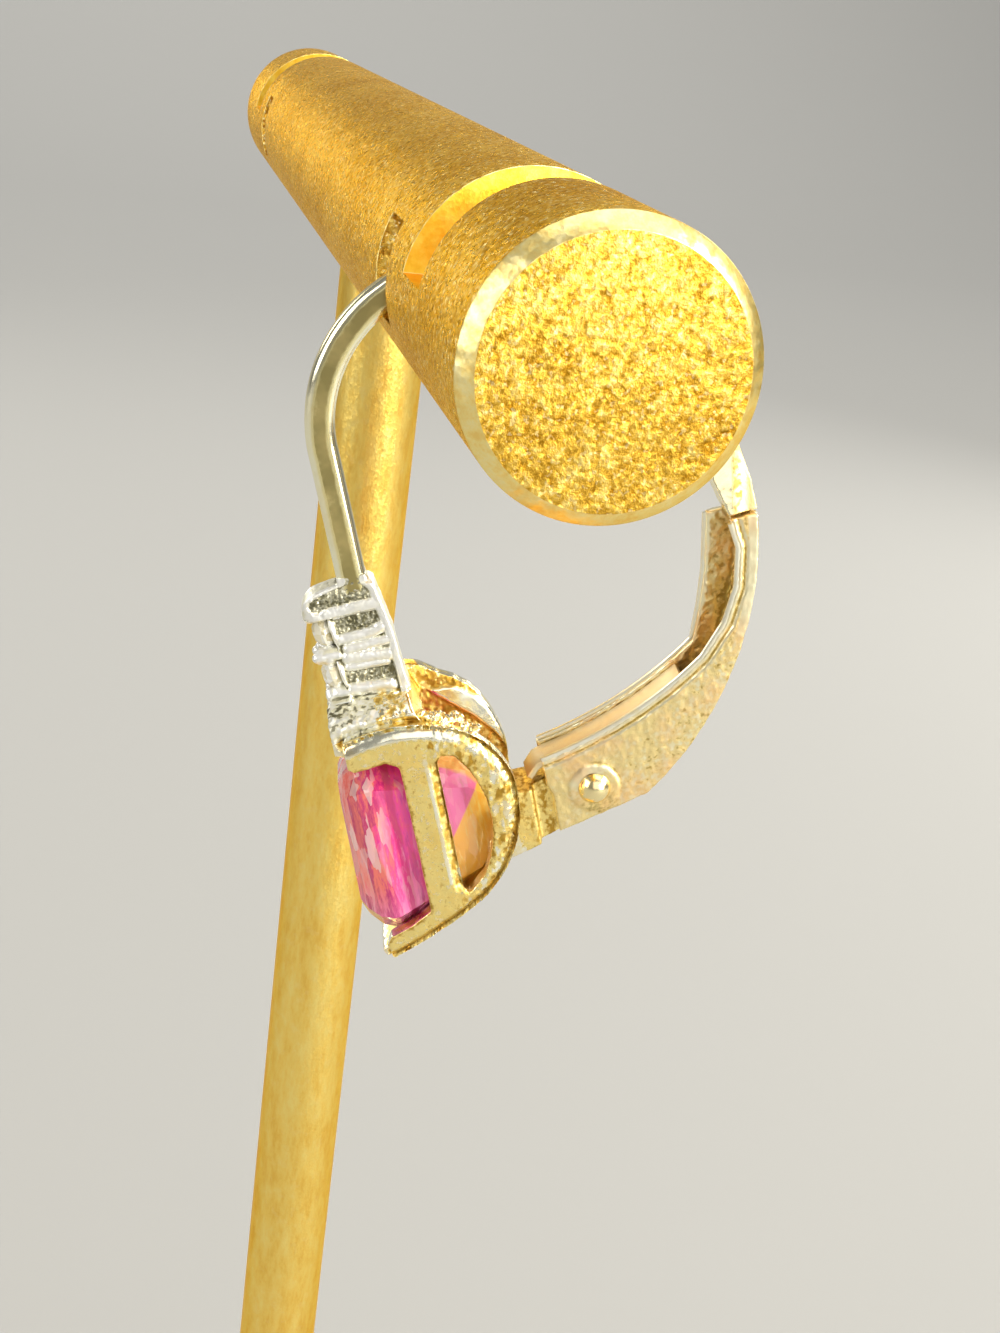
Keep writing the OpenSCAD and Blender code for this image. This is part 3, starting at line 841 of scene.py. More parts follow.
# Raised places on the accent setting's sides: a path in u and w with its half width
sideBars = [
    ([(-3.22, -7.69), (-1.77, -7.61)], 0.155),
    ([(-3.01, -8.47), (-2.13, -8.42), (-1.79, -8.32)], 0.135),
    ([(-2.83, -8.78), (-1.62, -8.71)], 0.12),
    ([(-2.88, -9.04), (-1.75, -9.15)], 0.17),
    ([(-2.92, -9.30), (-1.87, -9.33)], 0.10),
    ([(-3.42, -10.08), (-2.97, -9.98), (-1.89, -10.06)], 0.165),
    ([(-2.65, -6.82), (-3.38, -7.0), (-3.68, -7.14), (-3.79, -7.36), (-3.72, -7.62), (-3.4, -7.76)], 0.12),
    ([(-1.98, -6.9), (-1.8, -7.12), (-1.73, -7.7), (-1.64, -8.26), (-1.58, -8.75), (-1.55, -9.45),
      (-1.5, -10.22), (-1.4, -10.7)], 0.11),
]
# Beads are given by u, v to both sides, w and radius, and the cups' pairs are counted from the girdle
accentForm = {"voxel": 0.024, "smoothing": 4, "lumps": (0.2, 0.008), "relief": (24, 0.02),
              "core": 0.36, "raised": 0.14, "barFlank": 0.035, "cupDraw": 0.24, "blockInset": 0.09,
              "recessGrain": 0.09, "recessNoise": 0.05,
              "coreFront": (-3.08, -2.98), "coreBack": (-1.7, -1.6), "coreTop": (7.78, 7.86),
              "coreSide": (0.30, 0.34), "blockTop": (6.95, 7.05), "blockTurn": (0.35, 0.7),
              "cupReach": (0.56, 0.66), "cupFloor": (-0.4, -0.3), "cupRoof": (0.2, 0.26),
              "sideV": (0.26, 0.34), "sideFront": (-3.75, -3.6), "stonesBelow": -7.8,
              # The ground's relief paints shade between the bars, and the bars' relief paints a highlight
              # over their polish
              "coreSideFront": (-3.1, -3.0), "ground": 0.22, "rubbedAndLit": 0.74, "barEdge": (0.05, 0.4),
              "beads": [(-3.38, 0.24, -8.95, 0.23), (-3.38, 0.24, -10.08, 0.17)],
              "collar": {"gap": 0.05, "thickness": 0.06, "height": 0.30, "segments": 40, "sides": 10}}


def accentPlace(which):
    place = Matrix.Translation((accentStones["girdleU"], 0, accentStones["levels"][which]))
    return place @ Matrix.Rotation(math.radians(90 - accentStones["lean"]), 4, "Y")


def collarMesh():
    # A thin round wire ring about the third axis
    form = accentForm["collar"]
    radius, height = accentStones["d"] / 2 + form["gap"], form["height"]
    thickness, segments, sides = form["thickness"], form["segments"], form["sides"]
    turns = [2 * math.pi * k / sides for k in range(sides)]
    section = [(radius + thickness * math.cos(b), height + thickness * math.sin(b)) for b in turns]
    bm = bmesh.new()
    rings = []
    for a in [2 * math.pi * i / segments for i in range(segments)]:
        rings.append([bm.verts.new((reach * math.cos(a), reach * math.sin(a), z)) for reach, z in section])
    for here, after in zip(rings, rings[1:] + rings[:1]):
        for k in range(sides):
            bm.faces.new((here[k], after[k], after[(k + 1) % sides], here[(k + 1) % sides]))
    bmesh.ops.recalc_face_normals(bm, faces=bm.faces)
    return meshFromBmesh("collar", bm)


def barField(points):
    # 1 on the raised bars and 0 between them, with eased flanks
    flat = points[:, [0, 2]]
    field = np.zeros(len(points))
    for path, half in sideBars:
        across = np.clip(distanceToPath(flat, path) / (half + accentForm["barFlank"]), 0, 1)
        field = np.maximum(field, np.sqrt(1 - across ** 2))
    return field


def shapeAccent(points, normals):
    # The sides become a height field: smooth bars on a rough ground
    form = accentForm
    u, v, w = points.T
    field = barField(points)
    coarse = noiseAt(points, form["recessGrain"]) * form["recessNoise"] * (1 - field)
    core = smoothStep(u, *form["coreFront"]) * fade(u, *form["coreBack"])
    core *= smoothStep(-w, *form["coreTop"])
    core *= smoothStep(np.abs(v), *form["coreSide"])
    block = fade(-w, *form["coreTop"]) * smoothStep(-w, *form["blockTop"])
    block *= smoothStep(np.abs(normals[:, 1]), *form["blockTurn"])
    level = form["core"] + form["raised"] * field + coarse
    for which in accentStones["levels"]:
        # The cups are drawn in, so that the stones stand free at the sides
        place = accentPlace(which)
        turn, middle = place.to_3x3(), place.to_translation()
        local = points @ np.array(turn) - np.array(middle @ turn)
        x, y, z = local.T
        cup = fade(np.hypot(x, y), *form["cupReach"]) * smoothStep(z, *form["cupFloor"])
        cup *= fade(z, *form["cupRoof"])
        local[:, :2] *= (1 - form["cupDraw"] * cup)[:, None]
        points = (local @ np.array(turn).T + np.array(middle)).astype(np.float32)
    across = np.abs(points[:, 1])
    across = across * (1 - core) + level * core - block * ((1 - field) * form["blockInset"] - coarse)
    shaped = points.copy()
    shaped[:, 1] = np.sign(points[:, 1]) * across
    return shaped


def makeAccentSetting():
    form = accentForm
    bm = nodeCopy("hook_and_settings")
    cutAway(bm, (0, 0, seam["wireEnd"]), (0, 0, 1))
    cutAway(bm, (0, 0, seam["settings"]), (0, 0, -1))
    cutAway(bm, (seam["accentBack"], 0, 0), (1, 0, 0))
    for side in (-1, 1):
        for u, v, w, radius in form["beads"]:
            middle = Matrix.Translation((u, side * v, w))
            bmesh.ops.create_icosphere(bm, subdivisions=3, radius=radius, matrix=middle)
    for which in accentStones["levels"]:
        collar = collarMesh()
        collar.transform(accentPlace(which))
        bm.from_mesh(collar)
    piece = fused("accentSetting", bm, form, shapeAccent)
    points = readVerts(piece.data)
    u, v, w = points.T
    # On the sides the raised bars are painted bright as polished metal with a painted highlight, and the
    # rough ground between them dark with painted shade
    facing = smoothStep(np.abs(v), *form["sideV"]) * smoothStep(u, *form["sideFront"])
    facing *= np.where(w < form["stonesBelow"], smoothStep(u, *form["coreSideFront"]), 1)
    raised = form["ground"] + form["rubbedAndLit"] * smoothStep(barField(points), *form["barEdge"])
    storeRelief(piece.data, blend(readRelief(piece.data), facing, raised))
    finishPiece(piece, earringToWorld, ["whiteGold"])
    return dress(piece, "hook_and_settings")


nearEdge = (arcPoints((-3.48, -10.98), (-2.1, -10.75), (-0.65, -11.03))
            + arcPoints((-0.65, -11.03), (0.7, -12.22), (0.97, -13.6))[1:]
            + arcPoints((0.97, -13.6), (0.47, -15.32), (-0.6, -16.5))[1:]
            + arcPoints((-0.6, -16.5), (-2, -17.23), (-3.42, -17.78))[1:])
windowEdge = ([(-1.05, -15.95), (-1.05, -12), (-0.93, -11.83)]
              + arcPoints((-0.55, -11.93), (0.1, -13.75), (-0.38, -15.7))
              + [(-0.93, -16.22), (-1.05, -15.95)])
openingEdge = [(-3.5, -17.3), (-3.36, -17.08), (-2.74, -16.87), (-2.09, -16.52), (-2.09, -11.92),
               (-2.45, -11.74), (-3.31, -11.84)]
# The leaf is a path in u and w with its half width at each point
stoneForm = {"voxel": 0.044, "smoothing": 6, "lumps": (0.45, 0.012), "relief": (27, 0.035),
             "round": 0.42, "roundMost": 0.3, "crumple": 0.03, "neckLumps": 0.03, "hollowLumps": 0.05,
             "railFrom": -1.32, "railTo": -1.03, "railDepth": 0.16, "railTop": 11.9, "railFoot": 16.1,
             "farRim": [(-0.62, -10.7), (-0.2, -10.93), (0.2, -11.26), (0.52, -11.7), (0.74, -12.2),
                        (0.9, -12.8), (0.6, -12.7), (0, -11.9), (-0.62, -11.4)], "farRimV": (1.38, 1.86),
             "leaf": [(-0.95, -11.12), (-0.3, -11.42), (0.35, -11.95), (0.85, -12.7), (1.05, -13.4)],
             "leafHalves": [0.06, 0.30, 0.34, 0.26, 0.12], "leafLift": 0.1, "leafTilt": 0.12,
             "leafEdge": (-0.10, 0.02), "neckFoot": (-11.0, -10.9), "neckBack": (-1.7, -1.5),
             "neckSide": (1.62, 1.68), "innerV": (0.7, 0.9), "innerTurn": (0.3, 0.7),
             "innerFoot": (-14, -13.8), "faceV": (1.5, 1.7), "faceTurn": (0.25, 0.6),
             "crumpleU": (-1.6, -0.9), "railEase": 0.25, "railEnd": (0.02, 0.1), "grain": 0.13,
             "streakGrain": 0.16, "streakStretch": (1, 1, 0.45),
             "cavityV": (1.3, 1.4), "cavityU": (-1.4, -1.2), "cavityTop": (12, 12.4), "cavityBack": 0.8,
             "lugU": (0.85, 1.0), "lugTop": -13, "bandEdge": (0.32, 0.46), "bandU": (-0.9, 0.3),
             "bandFoot": -12, "wallV": (1.36, 1.42), "wallEdge": (0.08, 0.14), "lineTop": (12, 12.2),
             "lineFoot": (15.7, 15.9), "white": {"foot": -10.97, "back": -2.35, "half": 1.65,
                                                 "waves": 0.25, "reach": 0.45, "drop": 0.04}}


def neckShare(points):
    # The rough neck between the accent setting and the near frame
    form = stoneForm
    u, v, w = points.T
    neck = smoothStep(w, *form["neckFoot"]) * fade(u, *form["neckBack"])
    return neck * fade(np.abs(v), *form["neckSide"])


def farInner(points, normals):
    form = stoneForm
    inner = smoothStep(points[:, 1], *form["innerV"]) * smoothStep(-normals[:, 1], *form["innerTurn"])
    return inner * smoothStep(points[:, 2], *form["innerFoot"])


def leafShare(points, normals):
    # The polished leaf on the far frame's inner side
    leaf, halves = stoneForm["leaf"], stoneForm["leafHalves"]
    gap = np.full(len(points), 9.0)
    flat = points[:, [0, 2]]
    for start, end, first, second in zip(leaf, leaf[1:], halves, halves[1:]):
        run = np.subtract(end, start)
        share = np.clip(((flat - start) @ run) / (run @ run), 0, 1)
        distance = np.linalg.norm(flat - start - share[:, None] * run, axis=1)
        gap = np.minimum(gap, distance - (first + (second - first) * share))
    return fade(gap, *stoneForm["leafEdge"]) * farInner(points, normals)


def nearFace(points, normals):
    facing = smoothStep(-normals[:, 1], *stoneForm["faceTurn"])
    return smoothStep(-points[:, 1], *stoneForm["faceV"]) * facing


def shapeStoneSetting(points, normals):
    form = stoneForm
    u, w = points[:, 0], points[:, 2]
    face = nearFace(points, normals)
    # The near frame's outer edge is rounded over, and the rail slopes down to the window
    gap = np.clip(form["round"] - distanceToPath(points[:, [0, 2]], nearEdge), 0, form["round"])
    over = form["round"] - np.sqrt(np.maximum(form["round"] ** 2 - gap ** 2, 0))
    along = smoothStep(-w, form["railTop"], form["railTop"] + form["railEase"])
    along *= fade(-w, form["railFoot"] - form["railEase"], form["railFoot"])
    slope = np.clip((u - form["railFrom"]) / (form["railTo"] - form["railFrom"]), 0, 1)
    slope *= fade(u, *(form["railTo"] + past for past in form["railEnd"]))
    shaped = points.copy()
    shaped[:, 1] += face * (np.minimum(over, form["roundMost"]) + along * slope * form["railDepth"])
    leaf = leafShare(points, normals)
    lumps = neckShare(points) * form["neckLumps"]
    lumps = lumps + farInner(points, normals) * (1 - leaf) * form["hollowLumps"]
    lumps = lumps + face * smoothStep(u, *form["crumpleU"]) * form["crumple"]
    shaped += normals * (noiseAt(points, form["grain"]) * lumps)[:, None]
    # The leaf is lifted off the frame and tilted about its own middle line
    middle = np.interp(u, *zip(*form["leaf"]))
    shaped[:, 1] -= leaf * (form["leafLift"] + form["leafTilt"] * (middle - w))
    return shaped


def paintStoneSetting(mesh):
    # Sets the relief to given values where the finish changes or light and shade are painted: neck, leaf,
    # hollow, and the lines on the near frame. Painted shade lies on the far frame's inner side and the
    # rail's slope, painted highlights on the leaf, the near frame's top band, the window's wall and the
    # rail's edge, and painted light in the hollow
    form = stoneForm
    points, normals = readVerts(mesh), readNormals(mesh)
    u, v, w = points.T
    flat = points[:, [0, 2]]
    streaks = noiseAt(points * form["streakStretch"], form["streakGrain"])
    leaf = leafShare(points, normals)
    paintedLightCavity = fade(np.abs(v), *form["cavityV"]) * smoothStep(u, *form["cavityU"])
    paintedLightCavity *= smoothStep(-w, *form["cavityTop"])
    paintedLightCavity *= u < form["cavityBack"]
    lug = smoothStep(u, *form["lugU"]) * (w < form["lugTop"])
    face = nearFace(points, normals)
    window = distanceToPath(flat, windowEdge)
    topBandHighlight = fade(distanceToPath(flat, nearEdge), *form["bandEdge"]) * fade(u, *form["bandU"])
    topBandHighlight *= w > form["bandFoot"]
    windowWallHighlight = (1 - face) * smoothStep(-v, *form["wallV"]) * fade(window, *form["wallEdge"])
    rail = face * smoothStep(-w, *form["lineTop"]) * fade(-w, *form["lineFoot"])
    storeRelief(mesh, layered(readRelief(mesh), [
        (neckShare(points), 0.4 + 0.8 * streaks + 0.2 * (u > -3.1)),
        # Painted shade on the far frame's inner side, and on its leaf a painted highlight over the polish
        (farInner(points, normals), leaf * 0.86 + (1 - leaf) * (0.2 + 0.4 * streaks)),
        # Painted light in the stone's cavity, where shade falls
        (paintedLightCavity, 0.75),
        (lug, 0.38 + 0.22 * streaks),
        (face, 0.52 + (0.1 + 0.55 * smoothStep(u, *form["crumpleU"])) * streaks),
        # Painted highlight along the near frame's top band
        (face * topBandHighlight, 1.0),
        (face * fade(window, 0.03, 0.1) * (w > -15.2), 0.22),
        (face * fade(distanceToPath(flat, openingEdge), 0.04, 0.12), 0.3),
        # Painted highlight on the window's wall
        (windowWallHighlight, 0.9),
        # Along the rail: a painted highlight on its edge, and grained painted shade on its slope
        (rail * fade(np.abs(u + 1.36), 0.03, 0.07), 0.95),
        (rail * fade(np.abs(u + 1.2), 0.05, 0.1), 0.26 + 0.3 * streaks),
    ]))


def makeStoneSetting():
    bm = nodeCopy("hook_and_settings")
    cutAway(bm, (0, 0, seam["settings"]), (0, 0, 1))
    addPlate(bm, stoneForm["farRim"], *stoneForm["farRimV"])
    piece = fused("stoneSetting", bm, stoneForm, shapeStoneSetting)
    paintStoneSetting(piece.data)
    # White metal down to a wavering line across the neck
    form = stoneForm["white"]
    centres = readCentres(piece.data)
    u, v, w = centres.T
    wavering = noiseAt(centres, form["waves"]) * form["reach"]
    white = (w > form["foot"] - form["drop"] * wavering) & (u < form["back"] + wavering)
    white &= np.abs(v) < form["half"]
    finishPiece(piece, earringToWorld, ["paleGold", "whiteGold"], choice=white)
    return dress(piece, "hook_and_settings")


# Grains of solder where the accent setting stands on the main one

solder = {"radius": 0.17, "count": 13, "seed": 7, "alongU": (-1.25, 0.1), "acrossV": (-1.42, -1.15),
          "rise": (-0.04, 0.14), "least": (0.7, 0.7, 0.6), "most": (1.5, 1.3, 1.1),
          "edgePoints": 24, "lumps": (0.12, 0.03), "spots": 0.1}


def scatterTree():
    tree, given = newTree("scatterGrains", {
        "Seats": "Geometry", "Radius": "Float", "Least": "Vector", "Most": "Vector", "Seed": "Int",
        "Finish": "Material"}, "Grains")
    ball = addNode(tree, "GeometryNodeMeshIcoSphere", "Mesh", {"Radius": given["Radius"], "Subdivisions": 4})
    size = addNode(tree, "FunctionNodeRandomValue", "Value", {
        "Min": given["Least"], "Max": given["Most"], "Seed": given["Seed"]}, data_type="FLOAT_VECTOR")
    grains = addNode(tree, "GeometryNodeInstanceOnPoints", "Instances", {
        "Points": given["Seats"], "Instance": ball, "Scale": size})
    return endTree(tree, grains, given["Finish"])


def makeSolder(tree):
    random = np.random.default_rng(solder["seed"])
    seats = bmesh.new()
    frameTop = nearEdge[:solder["edgePoints"]]
    for u in np.linspace(*solder["alongU"], solder["count"]):
        w = np.interp(u, *zip(*frameTop))
        seats.verts.new((u, random.uniform(*solder["acrossV"]), w + random.uniform(*solder["rise"])))
    piece = newPiece("solderGrains", meshFromBmesh("solderGrains", seats))
    scatter = piece.modifiers.new("scatter", "NODES")
    scatter.node_group = tree
    setInputs(scatter, {"Radius": solder["radius"], "Least": solder["least"], "Most": solder["most"],
                        "Seed": solder["seed"], "Finish": metals["paleGold"]})
    applyModifiers(piece)
    points = readVerts(piece.data)
    addLumps(piece.data, points, solder["lumps"])
    # The grains are painted bright, towards the edge colour, as highlights
    storeRelief(piece.data, 0.7 + 0.5 * noiseAt(points, solder["spots"]))
    finishPiece(piece, earringToWorld, ["paleGold"])
    return dress(piece, "hook_and_settings")


# Lever: a cast channel, with polished rims along its walls' inner edges

rivet = {"pivot": (3.14, 0, -14.21), "reach": 0.9, "seat": 0.4, "pin": 0.35, "dome": 0.46,
         "domeHeight": 0.28, "domeSteps": 12, "segments": 48}
leverForm = {"voxel": 0.034, "smoothing": 9, "lumps": (0.3, 0.014), "relief": (30, 0.03), "wallV": 0.83,
             "wallEase": (0.12, 0.04), "wallTurn": (0.4, 0.8), "rim": 0.13, "rimEase": 0.03,
             "groove": 0.19, "ridge": 0.30, "grooveDepth": 0.06, "channelV": (0.5, 0.62),
             "channelGrain": 0.16, "channelNoise": 0.07, "grain": 0.14, "boss": (0.66, 0.76)}
leverRim = ([(8.02, -7.15), (8.15, -7.98), (7.95, -9.1), (7.5, -10.05)]
            + arcPoints((6.74, -10.94), (4.6, -12.2), (1.82, -13.08)))
leverBack = arcPoints((4.64, -14.73), (7.2, -12.05), (8.8, -7.15))
rimForm = {"width": 0.17, "height": 0.17, "corner": 0.05, "facet": 0.05, "step": 0.12}
# Each rim's v and its path in u and w
rims = {
    "near": (-0.74, [(8.03, -7.26)] + leverRim[1:]),
    "far": (0.74, [(7.62, -7.3), (7.36, -8.9), (7.06, -10)]
            + arcPoints((6.74, -10.94), (4.6, -12.2), (1.86, -13.07))),
}


def outerWalls(points, normals):
    form = leverForm
    outer = smoothStep(np.abs(points[:, 1]), *(form["wallV"] - under for under in form["wallEase"]))
    return outer * smoothStep(np.abs(normals[:, 1]), *form["wallTurn"])


def shapeLever(points, normals):
    # A groove under the polished rim on both side walls, and rough casting inside the channel
    form = leverForm
    v = points[:, 1]
    gap = distanceToPath(points[:, [0, 2]], leverRim)
    groove = smoothStep(gap, form["rim"] - form["rimEase"], form["groove"])
    groove *= fade(gap, form["groove"], form["ridge"])
    inner = fade(np.abs(v), *form["channelV"]) * noiseAt(points, form["channelGrain"])
    inner *= form["channelNoise"]
    shaped = points + normals * inner[:, None]
    shaped[:, 1] -= np.sign(v) * outerWalls(points, normals) * groove * form["grooveDepth"]
    return shaped


def paintLever(mesh):
    # A painted highlight along the upper rim with a painted shadow line under it, a smooth band along the
    # outer edge near the top painted bright as a highlight, rough ground between, a channel darkened with
    # grained painted shade, and a round place about the rivet, lit from above
    form = leverForm
    points, normals = readVerts(mesh), readNormals(mesh)
    flat = points[:, [0, 2]]
    outer = outerWalls(points, normals)
    rim = distanceToPath(flat, leverRim)
    back = distanceToPath(flat, leverBack)
    upper = outer * smoothStep(points[:, 2], -11.5, -9.5)
    grain = noiseAt(points, form["grain"])
    du, dw = flat[:, 0] - rivet["pivot"][0], flat[:, 1] - rivet["pivot"][2]
    boss = np.hypot(du, dw)
    storeRelief(mesh, layered(readRelief(mesh), [
        (outer, 0.56 + 0.2 * grain),
        (outer * fade(back, 0.7, 1.3), 0.56 + 0.45 * grain),
        (upper * fade(back, 0.6, 0.75), 0.36 + 0.4 * grain),
        (upper * fade(back, 0.26, 0.32), 0.9),
        (outer * fade(rim, 0.28, 0.34), 0.8),
        (outer * fade(np.abs(rim - form["groove"]), 0.02, 0.05), 0.12),
        (fade(np.abs(points[:, 1]), 0.5, 0.6), 0.26 + 0.6 * grain),
        (outer * fade(boss, *form["boss"]), np.clip(0.58 + 0.5 * (dw - 0.4 * du) + 0.15 * grain, 0.3, 0.92)),
        (outer * fade(np.abs(boss - 0.78), 0.02, 0.06) * (du > 0), 0.3),
    ]))


def makeLever():
    piece = fused("castLever", nodeCopy("lever"), leverForm, shapeLever)
    paintLever(piece.data)
    finishPiece(piece, earringToWorld, ["castGold"])
    return dress(piece, "lever", "lever_body")


def makeLeverRims(tree):
    for side, (atV, path) in rims.items():
        piece = sweptPiece("leverRim." + side, tree, path, rimForm, "rimGold", atV)
        # The rims are painted near white as highlights along the polished metal
        storeRelief(piece.data, 0.88 + 0.25 * noiseAt(readVerts(piece.data), 0.3))
        finishPiece(piece, earringToWorld, ["rimGold"], 40)
        dress(piece, "lever", "lever_body")


makeWireTip()
makeAccentSetting()
makeStoneSetting()
makeSolder(scatterTree())
makeLever()
makeLeverRims(sweepAlong)
print("settings and lever made")


# Stones

sameFacet = 1.5  # degrees by which triangles of one facet may differ
# Each step is its depth behind the girdle's front, its share of the width, and its inset at both ends
mainStone = {"mid": (-3.1, 0, -14.53), "lean": 1.5, "length": 5.3, "width": 3.5, "corner": 0.36,
             "steps": [(-0.88, 0.58, 0.7), (-0.7, 0.78, 0.42), (-0.36, 0.94, 0.12), (0, 1, 0), (0.16, 1, 0),
                       (0.95, 0.82, 0.4), (1.85, 0.68, 0.75), (2.7, 0.58, 1.0), (3.3, 0.45, 1.6)]}
# Each ring is its height, its share of the radius, how many corners it has, and its turn in steps
brilliant = [(-0.26, 0.5, 8, 0), (-0.17, 0.78, 8, 0.5), (0, 1.06, 16, 0), (0.07, 1.06, 16, 0),
             (0.22, 0.92, 8, 0.5), (0.38, 0.5, 8, 0), (0.46, 0.04, 8, 0)]


def hullMesh(name, points):
    bm = bmesh.new()
    for p in points:
        bm.verts.new(p)
    bmesh.ops.convex_hull(bm, input=bm.verts)
    loose = [v for v in bm.verts if not v.link_faces]
    bmesh.ops.delete(bm, geom=loose, context="VERTS")
    bmesh.ops.dissolve_limit(bm, angle_limit=math.radians(sameFacet), verts=bm.verts, edges=bm.edges)
    bmesh.ops.recalc_face_normals(bm, faces=bm.faces)
    return meshFromBmesh(name, bm)


def makeMainStone():
    points = []
    for depth, share, inset in mainStone["steps"]:
        halfWidth = mainStone["width"] / 2 * share
        halfLength = mainStone["length"] / 2 - inset
        cut = mainStone["corner"] * halfWidth
        corners = ((halfWidth, halfLength - cut), (halfWidth - cut, halfLength))
        points += [(depth, side * v, end * w) for side in (-1, 1) for end in (-1, 1) for v, w in corners]
    mesh = hullMesh("mainStone", points)
    lean = Matrix.Rotation(math.radians(mainStone["lean"]), 4, "Y")
    mesh.transform(Matrix.Translation(mainStone["mid"]) @ lean)
    # Each point keeps its place in the earring's own frame, in millimetres, for the stone's colours
    place = mesh.attributes.new("place", "FLOAT_VECTOR", "POINT")
    place.data.foreach_set("vector", readVerts(mesh).ravel())
    mesh.transform(earringToWorld)
    mesh.materials.append(pinkStone)
    return dress(newPiece("mainStone", mesh), "main_stone")


def makeAccentStone(which):
    r = accentStones["d"] / 2
    points = []
    for height, share, count, turn in brilliant:
        angles = [2 * math.pi * (i + turn) / count for i in range(count)]
        points += [(share * r * math.cos(a), share * r * math.sin(a), height) for a in angles]
    mesh = hullMesh("accentStone", points)
    mesh.transform(earringToWorld @ accentPlace(which))
    mesh.materials.append(clearStone)
    return dress(newPiece("accentStone." + which, mesh), "accent_stone_" + which)


makeMainStone()
for which in accentStones["levels"]:
    makeAccentStone(which)
print("stones made")


# Spring and rivet

springStrip = {"edge": 0.05, "edgeAngle": 50, "edgeSegments": 2}


def makeSpring():
    piece = newPiece("springStrip", meshFromBmesh("springStrip", nodeCopy("lever_spring")))
    bevelEdges(piece, springStrip)
    applyModifiers(piece)
    finishPiece(piece, earringToWorld, ["springMetal"], 40)
    return dress(piece, "lever_spring", "lever_body")


def makeRivet():
    r, h = rivet["dome"], rivet["domeHeight"]
    ball = (r * r + h * h) / (2 * h)
    middle = rivet["reach"] + h - ball
    rises = np.linspace(math.asin(r / ball), 0, rivet["domeSteps"])
    dome = [(ball * math.sin(a), middle + ball * math.cos(a)) for a in rises]
    dome[-1] = (0, dome[-1][1])
    half = [(rivet["pin"], rivet["seat"]), (rivet["pin"], rivet["reach"])] + dome
    profile = [(x, -y) for x, y in reversed(half)] + half
    mesh = latheMesh("hingeRivet", profile, rivet["segments"])
    mesh.transform(Matrix.Translation(rivet["pivot"]) @ Matrix.Rotation(math.radians(90), 4, "X"))
    piece = newPiece("hingeRivet", mesh)
    finishPiece(piece, earringToWorld, ["brightGold"], 50)
    return dress(piece, "hinge_rivet", "lever_body")


makeSpring()
makeRivet()
print("spring and rivet made")


# Stage: pale floor and backdrop in one sweep, soft lights, camera

stage = {"near": -1.2, "far": 1.9, "half": 3, "rise": 2.2, "bend": 1.1, "steps": 16,
         "colour": (0.36, 0.357, 0.345), "roughness": 0.9}


def makeStage():
    bm = bmesh.new()
    bend, far, steps = stage["bend"], stage["far"], stage["steps"]
    turns = [math.pi / 2 * k / steps for k in range(steps + 1)]
    curve = [(far - bend + bend * math.sin(a), bend - bend * math.cos(a)) for a in turns]
    line = [(stage["near"], 0)] + curve + [(far, stage["rise"])]
    rows = [[bm.verts.new((x, y, z)) for y, z in line] for x in (-stage["half"], stage["half"])]
    for i in range(len(line) - 1):
        bm.faces.new((rows[0][i], rows[1][i], rows[1][i + 1], rows[0][i + 1]))
    bmesh.ops.recalc_face_normals(bm, faces=bm.faces)
    piece = newPiece("studioSweep", meshFromBmesh("studioSweep", bm))
    piece.data.shade_smooth()
    material, tree = newMaterial("palePaper")
    setShader(tree, {"Base Color": stage["colour"], "Roughness": stage["roughness"]})
    piece.data.materials.append(material)


# The camera as it was fitted to the photo, in millimetres
cameraFit = {"lens": 47.25, "sensor": 36, "place": (-10.1186, -64.3357, 106.6973),
             "right": (0.9719065, -0.1982425, 0.1268766),
             "down": (0.0451524, -0.3720058, -0.9271316),
             "forward": (0.2309957, 0.9068140, -0.3526038), "sees": (2, 50000)}


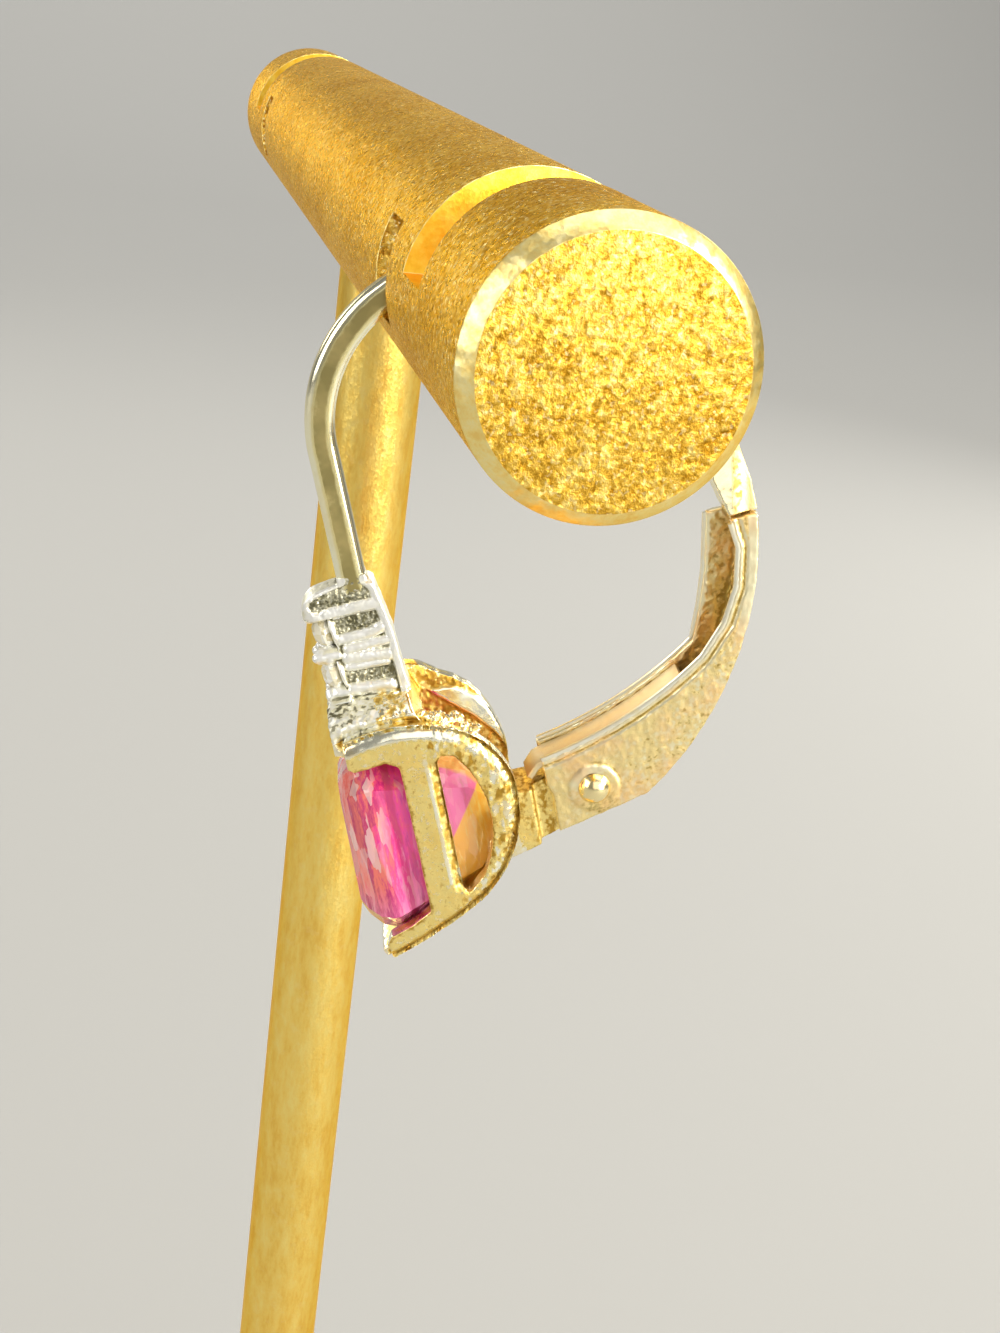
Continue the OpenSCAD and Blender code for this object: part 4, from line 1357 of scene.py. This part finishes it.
def makeCamera():
    data = bpy.data.cameras.new("camera")
    data.lens = cameraFit["lens"]
    data.sensor_width = cameraFit["sensor"]
    data.clip_start, data.clip_end = (reach * metre for reach in cameraFit["sees"])
    camera = bpy.data.objects.new("camera", data)
    scene.collection.objects.link(camera)
    up, back = ([-c for c in cameraFit[axis]] for axis in ("down", "forward"))
    turn = Matrix((cameraFit["right"], up, back)).transposed()
    camera.matrix_world = Matrix.Translation(Vector(cameraFit["place"]) * metre) @ turn.to_4x4()
    scene.camera = camera


# Place and aim in metres, size, power and colour of each light
lights = {
    "overhead": ((0.2, 0.0, 1.3), (0.05, 0.05, 0), 1.3, 11, (1, 0.985, 0.95)),
    "front": ((0.15, -1.05, 0.55), (0, 0, 0.05), 1.0, 4.6, (1, 0.98, 0.94)),
    "low": ((0.34, -0.44, 0.20), (0, -0.1, 0.05), 0.28, 2.2, (1, 0.97, 0.90)),
    "key": ((0.50, -0.25, 0.42), (0, -0.02, 0.09), 0.28, 6.0, (1, 0.96, 0.86)),
    "fill": ((-0.65, -0.25, 0.32), (0, -0.02, 0.09), 0.5, 3.2, (1, 0.97, 0.92)),
    "rim": ((0.30, 0.30, 0.22), (0, -0.02, 0.1), 0.16, 0.8, (1, 0.97, 0.90)),
    "back": ((-0.24, 0.38, 0.19), (0, 0, 0.11), 0.14, 0.42, (1, 0.97, 0.90)),
    "backdrop": ((0, 0.7, 1.3), (0, 1.9, 0.5), 0.9, 22, (1, 0.99, 0.96)),
}
room = {"colour": (1.0, 0.98, 0.93), "strength": 0.32, "exposure": -0.4}


def makeLights():
    for name, (place, aim, size, power, colour) in lights.items():
        data = bpy.data.lights.new(name, "AREA")
        data.size = size
        data.energy = power
        data.color = colour
        lamp = bpy.data.objects.new(name, data)
        scene.collection.objects.link(lamp)
        lamp.location = place
        lamp.rotation_mode = "QUATERNION"
        lamp.rotation_quaternion = (Vector(aim) - Vector(place)).to_track_quat("-Z", "Y")
    world = bpy.data.worlds.new("softRoom")
    world.use_nodes = True
    background = world.node_tree.nodes["Background"]
    background.inputs["Color"].default_value = (*room["colour"], 1)
    background.inputs["Strength"].default_value = room["strength"]
    scene.world = world
    scene.view_settings.view_transform = "Standard"
    scene.view_settings.exposure = room["exposure"]


makeStage()
makeCamera()
makeLights()
print("stage, camera and lights made")
